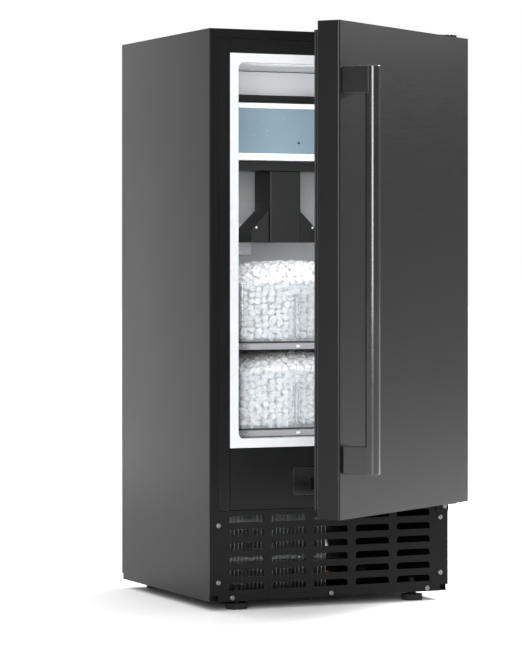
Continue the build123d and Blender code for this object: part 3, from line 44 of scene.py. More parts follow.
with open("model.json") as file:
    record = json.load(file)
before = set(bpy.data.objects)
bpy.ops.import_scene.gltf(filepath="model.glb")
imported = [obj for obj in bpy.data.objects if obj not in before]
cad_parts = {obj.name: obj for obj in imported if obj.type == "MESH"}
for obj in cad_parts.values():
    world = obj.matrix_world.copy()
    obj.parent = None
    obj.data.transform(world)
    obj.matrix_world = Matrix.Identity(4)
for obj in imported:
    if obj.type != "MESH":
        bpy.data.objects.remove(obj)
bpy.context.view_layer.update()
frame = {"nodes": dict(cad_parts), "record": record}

MM = 0.001
record = frame["record"]
joints = {joint["name"]: joint for joint in record["behaviour"]["joints"]}
body_of = {
    node: body for body, nodes in record["behaviour"]["bodies"].items() for node in nodes
}
door_hinge = joints["door_hinge"]
door_angle = -math.radians(door_hinge["range_deg"][0])
door_matrix = Matrix.Translation(
    (door_hinge["pos_m"][0], door_hinge["pos_m"][1], 0.0)
) @ Matrix.Rotation(door_angle, 4, "Z")
upright = Matrix.Rotation(math.radians(90.0), 4, "X")

# The door in its own frame: the hinge axis at the origin, the shut door's width along X
DOOR_WIDTH = 380.0 * MM
HINGE_SIDE = 6.9 * MM
FREE_SIDE = HINGE_SIDE - DOOR_WIDTH
DOOR_BACK = 7.0 * MM
DOOR_FACE = -28.0 * MM


# ---------------------------------------------------------------- what a user may change
class IceMakerFinish(bpy.types.PropertyGroup):
    """Colours of the main finishes."""

    cabinet_paint: FloatVectorProperty(
        name="Cabinet paint", description="Powder coat of the sides, top and grille",
        default=(0.0070, 0.0071, 0.0074), size=3, min=0.0, max=1.0, subtype="COLOR",
    )
    door_steel: FloatVectorProperty(
        name="Door steel", description="Dark stainless steel of the door",
        default=(0.023, 0.023, 0.024), size=3, min=0.0, max=1.0, subtype="COLOR",
    )
    liner_white: FloatVectorProperty(
        name="Liner", description="Moulded plastic of the ice compartment",
        default=(0.64, 0.65, 0.66), size=3, min=0.0, max=1.0, subtype="COLOR",
    )
    curtain_blue: FloatVectorProperty(
        name="Curtain", description="Translucent plastic of the water curtain",
        default=(0.30, 0.42, 0.50), size=3, min=0.0, max=1.0, subtype="COLOR",
    )


class IceMakerSizes(bpy.types.PropertyGroup):
    """Sizes of what isn't fixed by the frame."""

    ice_size: FloatProperty(
        name="Ice size", description="Side of one piece of ice",
        default=10.5 * MM, min=8 * MM, max=40 * MM, unit="LENGTH",
    )
    ice_heap: FloatProperty(
        name="Ice heap", description="Height of the ice above the bin's rim in the middle",
        default=26 * MM, min=0.0, max=40 * MM, unit="LENGTH",
    )
    ice_seed: IntProperty(
        name="Ice seed", description="Chooses another arrangement of the ice", default=11, min=0,
    )


# ---------------------------------------------------------------- materials
def node_at(tree, kind, x, y, **values):
    """A node of that kind with its inputs set by name."""
    node = tree.nodes.new(kind)
    node.location = (x, y)
    for key, value in values.items():
        node.inputs[key].default_value = value
    return node


def object_pattern(tree, scale, stretch=(1.0, 1.0, 1.0), detail=6.0, x=-900, y=0):
    """Noise on the piece's own coordinates, drawn out along an axis by stretch."""
    coordinates = node_at(tree, "ShaderNodeTexCoord", x - 400, y)
    mapping = node_at(tree, "ShaderNodeMapping", x - 200, y, Scale=stretch)
    noise = node_at(tree, "ShaderNodeTexNoise", x, y, Scale=scale, Detail=detail, Roughness=0.6)
    tree.links.new(coordinates.outputs["Object"], mapping.inputs["Vector"])
    tree.links.new(mapping.outputs["Vector"], noise.inputs["Vector"])
    return noise, mapping


def remap(tree, source, low, high, x=-500, y=0, start=0.3, stop=0.7):
    """The pattern's values spread between low and high."""
    node = node_at(tree, "ShaderNodeMapRange", x, y)
    node.inputs["From Min"].default_value = start
    node.inputs["From Max"].default_value = stop
    node.inputs["To Min"].default_value = low
    node.inputs["To Max"].default_value = high
    tree.links.new(source, node.inputs["Value"])
    return node.outputs["Result"]


def tinted(tree, source, dark, light, x=-400, y=200):
    """A colour ramp between two colours over the pattern."""
    ramp = node_at(tree, "ShaderNodeValToRGB", x, y)
    ramp.color_ramp.elements[0].position = 0.32
    ramp.color_ramp.elements[0].color = (*dark, 1.0)
    ramp.color_ramp.elements[1].position = 0.68
    ramp.color_ramp.elements[1].color = (*light, 1.0)
    tree.links.new(source, ramp.inputs["Fac"])
    return ramp.outputs["Color"]


made = {}


def surface(
    name, color, roughness, metallic=0.0, grain=900.0, stretch=(1.0, 1.0, 1.0), bump=0.06,
    bump_depth=0.05, mottle=0.08, gloss_change=0.06, cloud=9.0, coat=0.0, transmission=0.0,
    ior=1.5, specular=0.5, flecks=0.0, emission=None, anisotropic=0.0, subsurface=0.0,
):
    """A finish: fine grain in the relief, slow clouds in colour and gloss, and flecks where asked."""
    if name in made:
        return made[name]
    material = bpy.data.materials.new(name)
    material.use_nodes = True
    tree = material.node_tree
    tree.nodes.clear()
    output = node_at(tree, "ShaderNodeOutputMaterial", 300, 0)
    shader = node_at(tree, "ShaderNodeBsdfPrincipled", 0, 0)
    tree.links.new(shader.outputs["BSDF"], output.inputs["Surface"])
    shader.inputs["Metallic"].default_value = metallic
    shader.inputs["IOR"].default_value = ior
    shader.inputs["Specular IOR Level"].default_value = specular
    shader.inputs["Coat Weight"].default_value = coat
    shader.inputs["Coat Roughness"].default_value = 0.08
    shader.inputs["Transmission Weight"].default_value = transmission
    shader.inputs["Anisotropic"].default_value = anisotropic
    shader.inputs["Subsurface Weight"].default_value = subsurface
    shader.inputs["Subsurface Scale"].default_value = 0.004
    clouds, _ = object_pattern(tree, cloud, detail=3.0, y=300)
    grains, mapping = object_pattern(tree, grain, stretch, y=-300)
    dark = tuple(channel * (1.0 - mottle) for channel in color)
    light = tuple(min(1.0, channel * (1.0 + mottle)) for channel in color)
    base = tinted(tree, clouds.outputs["Fac"], dark, light)
    if flecks:
        cells = node_at(tree, "ShaderNodeTexVoronoi", -700, 60, Scale=flecks)
        tree.links.new(mapping.outputs["Vector"], cells.inputs["Vector"])
        blend = node_at(tree, "ShaderNodeMix", -150, 200)
        blend.data_type = "RGBA"
        blend.blend_type = "MULTIPLY"
        blend.inputs["Factor"].default_value = 0.35
        tree.links.new(base, blend.inputs["A"])
        grey = node_at(tree, "ShaderNodeRGBToBW", -450, 60)
        tree.links.new(cells.outputs["Color"], grey.inputs["Color"])
        tree.links.new(grey.outputs["Val"], blend.inputs["B"])
        base = blend.outputs["Result"]
    tree.links.new(base, shader.inputs["Base Color"])
    gloss_source = grains if stretch != (1.0, 1.0, 1.0) else clouds
    gloss = remap(
        tree, gloss_source.outputs["Fac"],
        max(0.02, roughness - gloss_change), min(1.0, roughness + gloss_change), y=0,
    )
    tree.links.new(gloss, shader.inputs["Roughness"])
    relief = node_at(tree, "ShaderNodeBump", -250, -300, Strength=bump, Distance=bump_depth * MM)
    tree.links.new(grains.outputs["Fac"], relief.inputs["Height"])
    tree.links.new(relief.outputs["Normal"], shader.inputs["Normal"])
    if emission:
        shader.inputs["Emission Color"].default_value = (*emission, 1.0)
        shader.inputs["Emission Strength"].default_value = 1.0
    made[name] = material
    return material


def cabinet_paint():
    color = bpy.context.scene.ice_maker_finish.cabinet_paint
    return surface("cabinet_powder_coat", tuple(color), 0.36, grain=1400.0, bump=0.12,
                   bump_depth=0.04, mottle=0.04, specular=0.10, gloss_change=0.012)


def door_steel():
    color = bpy.context.scene.ice_maker_finish.door_steel
    return surface("door_black_stainless", tuple(color), 0.36, metallic=0.85, grain=1500.0,
                   stretch=(0.02, 0.02, 1.0), bump=0.10, bump_depth=0.02, mottle=0.03,
                   gloss_change=0.05, anisotropic=0.35)


def moulded_black():
    return surface("moulded_black_plastic", (0.0045, 0.0046, 0.005), 0.40, grain=2200.0, bump=0.2,
                   bump_depth=0.04, mottle=0.10, specular=0.18)


def glossy_black():
    return surface("glossy_black_plastic", (0.006, 0.006, 0.0065), 0.16, grain=600.0, bump=0.03,
                   mottle=0.10, gloss_change=0.04, specular=0.5, coat=0.3)


def handle_finish():
    return surface("handle_black_enamel", (0.008, 0.008, 0.0085), 0.20, grain=1500.0, bump=0.05,
                   mottle=0.05, gloss_change=0.04, coat=0.5)


def liner_plastic():
    color = bpy.context.scene.ice_maker_finish.liner_white
    return surface("liner_white_plastic", tuple(color), 0.30, grain=700.0, bump=0.05,
                   mottle=0.02, gloss_change=0.05, specular=0.5, subsurface=0.1)


def bright_plastic():
    return surface("bright_white_plastic", (0.88, 0.89, 0.90), 0.28, grain=900.0, bump=0.05,
                   mottle=0.02, gloss_change=0.05, subsurface=0.1)


def grey_plastic():
    return surface("light_grey_plastic", (0.50, 0.51, 0.53), 0.36, grain=1200.0, bump=0.12,
                   mottle=0.03, gloss_change=0.05)


def shelf_plastic():
    return surface("dark_grey_plastic", (0.17, 0.172, 0.178), 0.34, grain=1200.0, bump=0.12,
                   mottle=0.05, gloss_change=0.05)


def black_zinc():
    return surface("black_zinc_steel", (0.20, 0.20, 0.205), 0.34, metallic=1.0, grain=1600.0,
                   bump=0.15, mottle=0.08, gloss_change=0.06)


def bin_plastic():
    return surface("clear_bin_plastic", (0.93, 0.96, 0.98), 0.07, grain=300.0, bump=0.04,
                   bump_depth=0.2, mottle=0.02, gloss_change=0.03, transmission=0.93, ior=1.45)


def curtain_plastic():
    color = bpy.context.scene.ice_maker_finish.curtain_blue
    return surface("curtain_blue_plastic", tuple(color), 0.22, grain=260.0, stretch=(1.0, 1.0, 0.3),
                   bump=0.06, bump_depth=0.2, mottle=0.04, cloud=18.0, transmission=0.35, ior=1.45)


def curtain_rib():
    return surface("curtain_rib_plastic", (0.13, 0.22, 0.28), 0.30, grain=400.0, bump=0.08,
                   mottle=0.06, transmission=0.15, ior=1.45)


def rubber():
    return surface("black_rubber", (0.012, 0.012, 0.0125), 0.72, grain=2600.0, bump=0.35,
                   bump_depth=0.06, mottle=0.15, specular=0.25)


def gasket_rubber():
    return surface("gasket_rubber", (0.020, 0.020, 0.021), 0.60, grain=1800.0, bump=0.2,
                   mottle=0.12, specular=0.3)


def zinc():
    return surface("zinc_plated_steel", (0.62, 0.62, 0.61), 0.22, metallic=1.0, grain=1600.0,
                   bump=0.15, mottle=0.06, gloss_change=0.08)


def galvanised():
    return surface("galvanised_sheet", (0.42, 0.43, 0.44), 0.38, metallic=1.0, grain=500.0,
                   bump=0.06, mottle=0.08, gloss_change=0.10, flecks=120.0)


def copper():
    return surface("drawn_copper", (0.74, 0.36, 0.22), 0.26, metallic=1.0, grain=400.0, bump=0.08,
                   mottle=0.18, cloud=60.0, gloss_change=0.12)


def aluminium():
    return surface("mill_aluminium", (0.70, 0.71, 0.72), 0.34, metallic=1.0, grain=900.0,
                   stretch=(0.1, 1.0, 1.0), bump=0.08, mottle=0.05, gloss_change=0.08)


def mould_metal():
    return surface("tinned_mould", (0.50, 0.53, 0.56), 0.30, metallic=0.9, grain=700.0, bump=0.08,
                   mottle=0.10, cloud=50.0, gloss_change=0.10)


def foam():
    return surface("rigid_foam", (0.78, 0.66, 0.38), 0.85, grain=350.0, bump=0.6, bump_depth=0.6,
                   mottle=0.12, cloud=30.0, specular=0.2)


def compressor_enamel():
    return surface("compressor_enamel", (0.009, 0.009, 0.010), 0.24, grain=220.0, bump=0.15,
                   bump_depth=0.15, mottle=0.10, coat=0.3)


def circuit_green():
    return surface("circuit_board_mask", (0.012, 0.11, 0.045), 0.28, grain=900.0, bump=0.2,
                   mottle=0.2, cloud=220.0, coat=0.3)


def hose_plastic():
    return surface("translucent_hose", (0.66, 0.68, 0.69), 0.30, grain=500.0, bump=0.08,
                   mottle=0.05, transmission=0.3, subsurface=0.2)


def valve_plastic():
    return surface("valve_nylon", (0.72, 0.71, 0.67), 0.45, grain=1500.0, bump=0.2, mottle=0.06)


def lens_finish():
    return surface("smoked_lens", (0.004, 0.004, 0.0045), 0.07, grain=300.0, bump=0.02,
                   mottle=0.1, gloss_change=0.03, coat=0.4)


def digit_glow():
    return surface("display_segment", (0.85, 0.88, 0.90), 0.4, grain=900.0, bump=0.04,
                   mottle=0.04, emission=(0.85, 0.90, 0.95))


def mark_paint():
    return surface("printed_mark", (0.70, 0.71, 0.72), 0.45, grain=2500.0, bump=0.1, mottle=0.06)


def ice_finish():
    return surface("clear_ice", (0.97, 0.98, 1.0), 0.05, grain=160.0, bump=0.2, bump_depth=0.5,
                   mottle=0.03, cloud=70.0, gloss_change=0.03, transmission=0.36, ior=1.31)


def sump_plastic():
    return surface("sump_black_plastic", (0.0050, 0.0051, 0.0055), 0.30, grain=1800.0, bump=0.12,
                   mottle=0.08, specular=0.28)


# ---------------------------------------------------------------- shapes
def join(target, part, matrix=None):
    """Adds a finished shape to a piece's mesh, and empties it."""
    if matrix is not None:
        bmesh.ops.transform(part, matrix=matrix, verts=part.verts)
    bmesh.ops.recalc_face_normals(part, faces=part.faces)
    shape = bpy.data.meshes.new("shape")
    part.to_mesh(shape)
    part.free()
    target.from_mesh(shape)
    bpy.data.meshes.remove(shape)


def round_edges(part, edges, radius, segments=2):
    """Rounds the edges given."""
    if radius > 0.0 and edges:
        bmesh.ops.bevel(
            part, geom=edges, offset=radius, offset_type="OFFSET", segments=segments,
            profile=0.5, affect="EDGES", clamp_overlap=True, material=-1,
        )


def sharp_edges(part, angle=50.0):
    """Edges whose faces meet at more than the angle."""
    limit = math.radians(angle)
    return [
        edge for edge in part.edges
        if len(edge.link_faces) == 2 and edge.calc_face_angle(0.0) > limit
    ]


def slab(target, low, high, edge=0.0, matrix=None, steps=2):
    """A box between two corners, with its edges rounded."""
    part = bmesh.new()
    low, high = Vector(low), Vector(high)
    bmesh.ops.create_cube(part, size=1.0)
    bmesh.ops.scale(part, vec=high - low, verts=part.verts)
    bmesh.ops.translate(part, vec=(low + high) / 2, verts=part.verts)
    round_edges(part, sharp_edges(part), edge, steps)
    join(target, part, matrix)


def rod(target, start, end, radius, rim=0.0, segments=40, matrix=None):
    """A round bar from one point to another, with its rims rounded."""
    part = bmesh.new()
    start, end = Vector(start), Vector(end)
    run = end - start
    turn = run.to_track_quat("Z", "Y").to_matrix().to_4x4()
    bmesh.ops.create_cone(
        part, cap_ends=True, cap_tris=False, segments=segments, radius1=radius,
        radius2=radius, depth=run.length,
        matrix=Matrix.Translation((start + end) / 2) @ turn,
    )
    round_edges(part, sharp_edges(part), rim, 3)
    join(target, part, matrix)


def ring_slab(target, x0, x1, y0, y1, width, z0, z1, corner, edge=0.0, matrix=None):
    """A rounded rectangular frame of that width, lying level."""
    part = bmesh.new()
    outline = ((x0, y0, z0), (x1, y0, z0), (x1, y1, z0), (x0, y1, z0))
    corners = [part.verts.new(point) for point in outline]
    part.faces.new(corners)
    bmesh.ops.bevel(
        part, geom=corners, offset=corner, offset_type="OFFSET", segments=6,
        profile=0.5, affect="VERTICES", material=-1,
    )
    middle = list(part.faces)
    bmesh.ops.inset_region(
        part, faces=middle, thickness=width, use_even_offset=True, use_boundary=True,
    )
    bmesh.ops.delete(part, geom=middle, context="FACES")
    raised = bmesh.ops.extrude_face_region(part, geom=list(part.faces))
    lifted = [item for item in raised["geom"] if isinstance(item, bmesh.types.BMVert)]
    bmesh.ops.translate(part, vec=(0.0, 0.0, z1 - z0), verts=lifted)
    bmesh.ops.recalc_face_normals(part, faces=part.faces)
    round_edges(part, sharp_edges(part), edge, 3)
    join(target, part, matrix)


def merged_copy(node, edge=0.0, steps=2, angle=50.0):
    """A merged copy of a frame node's mesh, with its sharp edges rounded."""
    part = bmesh.new()
    part.from_mesh(frame["nodes"][node].data)
    bmesh.ops.remove_doubles(part, verts=part.verts, dist=0.002 * MM)
    bmesh.ops.dissolve_limit(
        part, angle_limit=math.radians(0.6), verts=part.verts, edges=part.edges,
    )
    round_edges(part, sharp_edges(part, angle), edge, steps)
    return part


def place(name, part, material, body, nodes=(), angle=38.0):
    """Turns the mesh into a piece that rides on a body and stands for the nodes."""
    mesh = bpy.data.meshes.new(name)
    part.to_mesh(mesh)
    part.free()
    mesh.shade_smooth()
    mesh.set_sharp_from_angle(angle=math.radians(angle))
    mesh.materials.append(material)
    piece = bpy.data.objects.new(name, mesh)
    bpy.context.collection.objects.link(piece)
    weighted = piece.modifiers.new("even_shading", "WEIGHTED_NORMAL")
    weighted.keep_sharp = True
    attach(piece, body)
    if nodes:
        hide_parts(*nodes)
    return piece


def dress(node, material, edge=0.0, steps=2, angle=50.0):
    """A piece in the shape of one frame node, with rounded edges and its finish."""
    shape = merged_copy(node, edge, steps, angle)
    return place(f"{node}_piece", shape, material, body_of[node], (node,))


def paint(material, *nodes):
    """Gives inner frame nodes their finish and leaves their shape alone."""
    for node in nodes:
        mesh = frame["nodes"][node].data
        mesh.materials.clear()
        mesh.materials.append(material)


# ---------------------------------------------------------------- the pieces
class ICEMAKER_OT_shell(bpy.types.Operator):
    """Side panels, top, back, rear cover and base pan"""

    bl_idname = "icemaker.shell"
    bl_label = "Cabinet shell"

    def execute(self, context):
        for node in ("side_panel_left", "side_panel_right", "top_panel"):
            dress(node, cabinet_paint(), 0.15 * MM, 1)
        dress("back_panel", cabinet_paint(), 0.2 * MM, 1)
        dress("rear_cover", galvanised(), 0.2 * MM, 1)
        dress("base_pan", cabinet_paint(), 0.2 * MM, 1)
        return {"FINISHED"}


class ICEMAKER_OT_feet(bpy.types.Operator):
    """Four levelling feet"""

    bl_idname = "icemaker.feet"
    bl_label = "Feet"

    def execute(self, context):
        for corner in ("front_left", "front_right", "rear_left", "rear_right"):
            dress(f"foot_{corner}", rubber(), 0.3 * MM, 2)
        return {"FINISHED"}


class ICEMAKER_OT_grille(bpy.types.Operator):
    """Slotted panel below the door"""

    bl_idname = "icemaker.grille"
    bl_label = "Grille"

    def execute(self, context):
        dress("grille_panel", cabinet_paint(), 0.25 * MM, 2)
        return {"FINISHED"}


class ICEMAKER_OT_screws(bpy.types.Operator):
    """Pan-head screws with cross recesses"""

    bl_idname = "icemaker.screws"
    bl_label = "Screws"

    def execute(self, context):
        dress("cabinet_screws", black_zinc(), 0.0)
        paint(zinc(), "handle_screws")
        return {"FINISHED"}


class ICEMAKER_OT_liner(bpy.types.Operator):
    """Inner liner, its border strips, insulation and divider"""

    bl_idname = "icemaker.liner"
    bl_label = "Liner"

    def execute(self, context):
        dress("inner_liner", liner_plastic(), 0.5 * MM, 2)
        dress("breaker_strips", moulded_black(), 0.2 * MM, 1)
        paint(foam(), "cabinet_foam", "door_foam")
        paint(galvanised(), "divider_plate")
        return {"FINISHED"}


class ICEMAKER_OT_controls(bpy.types.Operator):
    """Control fascia, its housing and the smoked display lens"""

    bl_idname = "icemaker.controls"
    bl_label = "Controls"

    def execute(self, context):
        dress("control_fascia", moulded_black(), 0.2 * MM, 1)
        dress("control_housing", glossy_black(), 0.15 * MM, 2)
        dress("display_lens", lens_finish(), 0.0)
        paint(circuit_green(), "control_board")
        return {"FINISHED"}


class ICEMAKER_OT_display(bpy.types.Operator):
    """Two plain seven-segment digits on the lens"""

    bl_idname = "icemaker.display"
    bl_label = "Display digits"

    def execute(self, context):
        low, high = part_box("display_lens")
        digits = bmesh.new()
        middle_z = (low.z + high.z) / 2
        width, height, bar, gap = 9.0 * MM, 17.0 * MM, 1.6 * MM, 0.35 * MM
        front, back = low.y - 0.10 * MM, low.y + 0.05 * MM
        segments = {"2": "abged", "0": "abcdef"}
        for digit, left in (("2", low.x + 8.0 * MM), ("0", low.x + 21.5 * MM)):
            right, top, bottom = left + width, middle_z + height / 2, middle_z - height / 2
            spans = {
                "a": (left + bar, right - bar, top - bar, top),
                "g": (left + bar, right - bar, middle_z - bar / 2, middle_z + bar / 2),
                "d": (left + bar, right - bar, bottom, bottom + bar),
                "f": (left, left + bar, middle_z + gap, top - gap),
                "e": (left, left + bar, bottom + gap, middle_z - gap),
                "b": (right - bar, right, middle_z + gap, top - gap),
                "c": (right - bar, right, bottom + gap, middle_z - gap),
            }
            for letter in segments[digit]:
                x0, x1, z0, z1 = spans[letter]
                slab(digits, (x0, front, z0), (x1, back, z1), edge=0.03 * MM, steps=1)
        place("display_digits", digits, digit_glow(), "cabinet")
        return {"FINISHED"}


class ICEMAKER_OT_buttons(bpy.types.Operator):
    """Three push buttons, each with a plain mark"""

    bl_idname = "icemaker.buttons"
    bl_label = "Buttons"

    def execute(self, context):
        ring_radius, line_width, dot_radius = 2.3 * MM, 0.45 * MM, 0.7 * MM
        # left, bottom, right and top of each stroke from the button's centre, in mm
        strokes = {
            "power": ((-0.25, 0.6, 0.25, 2.9),),
            "timer": ((-0.2, -0.2, 0.2, 1.4), (-0.2, -0.2, 1.1, 0.2)),
            "clean": (),
        }
        for name, bars in strokes.items():
            node = f"{name}_button"
            dress(node, glossy_black(), 0.0)
            low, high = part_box(node)
            centre = Vector(((low.x + high.x) / 2, low.y, (low.z + high.z) / 2))
            mark = bmesh.new()
            front, back = centre.y - 0.04 * MM, centre.y + 0.05 * MM
            rim = bmesh.new()
            bmesh.ops.create_circle(rim, cap_ends=True, segments=32, radius=ring_radius)
            faces = list(rim.faces)
            bmesh.ops.inset_region(
                rim, faces=faces, thickness=line_width, use_even_offset=True, use_boundary=True,
            )
            bmesh.ops.delete(rim, geom=faces, context="FACES")
            raised = bmesh.ops.extrude_face_region(rim, geom=list(rim.faces))
            lifted = [item for item in raised["geom"] if isinstance(item, bmesh.types.BMVert)]
            bmesh.ops.translate(rim, vec=(0.0, 0.0, back - front), verts=lifted)
            join(mark, rim, Matrix.Translation((centre.x, back, centre.z)) @ upright)
            for left, bottom, right, top in bars:
                slab(mark, (centre.x + left * MM, front, centre.z + bottom * MM),
                     (centre.x + right * MM, back, centre.z + top * MM))
            if name == "clean":
                rod(mark, (centre.x, front, centre.z), (centre.x, back, centre.z), dot_radius,
                    segments=20)
            place(f"{name}_mark", mark, mark_paint(), node)
        return {"FINISHED"}


class ICEMAKER_OT_hinges(bpy.types.Operator):
    """Hinge brackets, pins and the door's bushes"""

    bl_idname = "icemaker.hinges"
    bl_label = "Hinges"

    def execute(self, context):
        dress("hinge_brackets", cabinet_paint(), 0.3 * MM, 2)
        dress("hinge_pins", zinc(), 0.3 * MM, 2)
        dress("hinge_bushes", bright_plastic(), 0.0)
        return {"FINISHED"}


class ICEMAKER_OT_door(bpy.types.Operator):
    """Door skin, end caps, inner panel and gasket"""

    bl_idname = "icemaker.door"
    bl_label = "Door"

    def execute(self, context):
        dress("door_skin", door_steel(), 0.0)
        dress("door_end_caps", moulded_black(), 0.4 * MM, 2)
        dress("door_inner_panel", liner_plastic(), 0.4 * MM, 2)
        skin_low, skin_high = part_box("door_skin")
        inset, width = 10.9 * MM, 14.0 * MM
        z0, z1 = skin_low.z + inset, skin_high.z - inset
        gasket = bmesh.new()
        turned = door_matrix @ Matrix.Translation((0.0, DOOR_BACK, 0.0)) @ upright
        # far side, near side, draw-in at the sides, corner and edge of each layer, in mm
        layers = (
            (-2.6, -0.05, 0.0, 3.0, 0.5), (-7.6, -5.2, 1.2, 3.0, 0.5),
            (-10.3, -7.6, 0.0, 3.0, 0.5), (-7.0, -1.5, 3.4, 2.0, 0.3),
        )
        for start, stop, shrink, corner, edge in layers:
            ring_slab(
                gasket, FREE_SIDE + inset + shrink * MM, HINGE_SIDE - inset - shrink * MM,
                z0 + shrink * MM, z1 - shrink * MM, width - 2 * shrink * MM,
                start * MM, stop * MM, corner * MM, edge * MM, turned,
            )
        place("door_gasket_bellows", gasket, gasket_rubber(), "door", ("door_gasket",))
        return {"FINISHED"}


class ICEMAKER_OT_handle(bpy.types.Operator):
    """Round bar handle on two blocks"""

    bl_idname = "icemaker.handle"
    bl_label = "Handle"

    def execute(self, context):
        low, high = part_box("handle_bar")
        bar_radius, handle_inset, handle_reach = 10.0 * MM, 17.0 * MM, 42.0 * MM
        handle_x, handle_y = FREE_SIDE + handle_inset, DOOR_FACE - handle_reach
        bar = bmesh.new()
        rod(bar, (handle_x, handle_y, low.z), (handle_x, handle_y, high.z), bar_radius, 1.2 * MM,
            segments=64, matrix=door_matrix)
        place("handle_round_bar", bar, handle_finish(), "door", ("handle_bar",))
        bracket_low, bracket_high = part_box("handle_brackets")
        blocks = bmesh.new()
        block_height, seat = 37.0 * MM, 0.05 * MM
        for start in (bracket_low.z, bracket_high.z - block_height):
            slab(
                blocks, (handle_x - bar_radius, handle_y + 1.0 * MM, start),
                (handle_x + bar_radius, DOOR_FACE - seat, start + block_height),
                edge=1.0 * MM, matrix=door_matrix, steps=3,
            )
        place("handle_blocks", blocks, handle_finish(), "door", ("handle_brackets",))
        return {"FINISHED"}


class ICEMAKER_OT_bins(bpy.types.Operator):
    """Two clear bins and the shelves under them"""

    bl_idname = "icemaker.bins"
    bl_label = "Bins"

    def execute(self, context):
        for node in ("upper_bin", "lower_bin"):
            dress(node, bin_plastic(), 0.4 * MM, 2)
        dress("bin_shelves", shelf_plastic(), 0.4 * MM, 2)
        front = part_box("bin_shelves")[0].y
        clips = bmesh.new()
        tops = [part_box(node)[0].z - 0.3 * MM for node in ("upper_bin", "lower_bin")]
        inner, outer, half_width = 42.0 * MM, 125.0 * MM, 3.0 * MM
        for top in tops:
            for x in (-outer, -inner, inner, outer):
                slab(clips, (x - half_width, front - 0.8 * MM, top - 6.5 * MM),
                     (x + half_width, front + 1.0 * MM, top - 2.5 * MM), edge=0.4 * MM)
        place("shelf_clips", clips, zinc(), "cabinet")
        return {"FINISHED"}


def ice_piece(chance, size):
    """One piece of ice: a tapered block with rounded edges, turned at random."""
    part = bmesh.new()
    bmesh.ops.create_cube(part, size=size)
    top = [vert for vert in part.verts if vert.co.z > 0.0]
    taper = chance.uniform(0.78, 0.92)
    bmesh.ops.scale(part, vec=(taper, taper, 1.0), verts=top)
    squash = (chance.uniform(0.9, 1.08), chance.uniform(0.9, 1.08), chance.uniform(0.72, 0.95))
    bmesh.ops.scale(part, vec=squash, verts=part.verts)
    round_edges(part, list(part.edges), size * 0.14, 1)
    turn = Matrix.Rotation(chance.uniform(0.0, 6.28), 4, "Z")
    nod = Matrix.Rotation(chance.uniform(-1.0, 1.0), 4, "X")
    lean = Matrix.Rotation(chance.uniform(-1.0, 1.0), 4, "Y")
    bmesh.ops.transform(part, matrix=turn @ (nod @ lean), verts=part.verts)
    return part


class ICEMAKER_OT_ice(bpy.types.Operator):
    """Ice heaped in both bins"""

    bl_idname = "icemaker.ice"
    bl_label = "Ice"

    def execute(self, context):
        sizes = context.scene.ice_maker_sizes
        chance = random.Random(sizes.ice_seed)
        size = sizes.ice_size
        reach, pitch, layer_pitch = size * 0.80, size * 1.02, size * 0.86
        wall, bin_floor, grip_half, grip_back = 6.6 * MM, 3.0 * MM, 40.5 * MM, 16.6 * MM
        for node, heap in (("upper_bin", sizes.ice_heap * 1.35), ("lower_bin", sizes.ice_heap)):
            low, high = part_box(node)
            x0, x1 = low.x + wall + reach, high.x - wall - reach
            y0, y1 = low.y + wall + reach, high.y - wall - reach
            pull_x, pull_y = grip_half + reach, low.y + grip_back + reach
            z0 = low.z + bin_floor + reach
            across = int((x1 - x0) / pitch) + 1
            deep = int((y1 - y0) / pitch) + 1
            heaped = bmesh.new()
            for i in range(across):
                for j in range(deep):
                    u, v = i / (across - 1), j / (deep - 1)
                    fall_across = 1.0 - 0.75 * abs(2 * u - 1.0) ** 2.6
                    fall_deep = 1.0 - 0.6 * abs(2 * v - 1.0) ** 4
                    ceiling = high.z + heap * fall_across * fall_deep - reach
                    layers = int((ceiling - z0) / layer_pitch) + 1
                    at_pull = j < 4 and abs(2 * u - 1.0) < 0.45
                    at_side = i in (0, across - 1) or j < 2 or at_pull
                    for k in range(layers + 1):
                        on_top = k >= layers - 1
                        if not (on_top or at_side):
                            continue
                        z = z0 + (ceiling - z0) * k / max(1, layers)
                        shift = Vector(
                            (chance.uniform(-1, 1), chance.uniform(-1, 1), chance.uniform(-1, 0.2))
                        )
                        centre = Vector((x0 + u * (x1 - x0), y0 + v * (y1 - y0), z))
                        centre += shift * 2.4 * MM
                        centre.x = min(max(centre.x, x0), x1)
                        nearest = pull_y if abs(centre.x) < pull_x and z < high.z else y0
                        centre.y = min(max(centre.y, nearest), y1)
                        join(heaped, ice_piece(chance, size), Matrix.Translation(centre))
            place(f"{node}_ice", heaped, ice_finish(), node, angle=20.0)
        return {"FINISHED"}


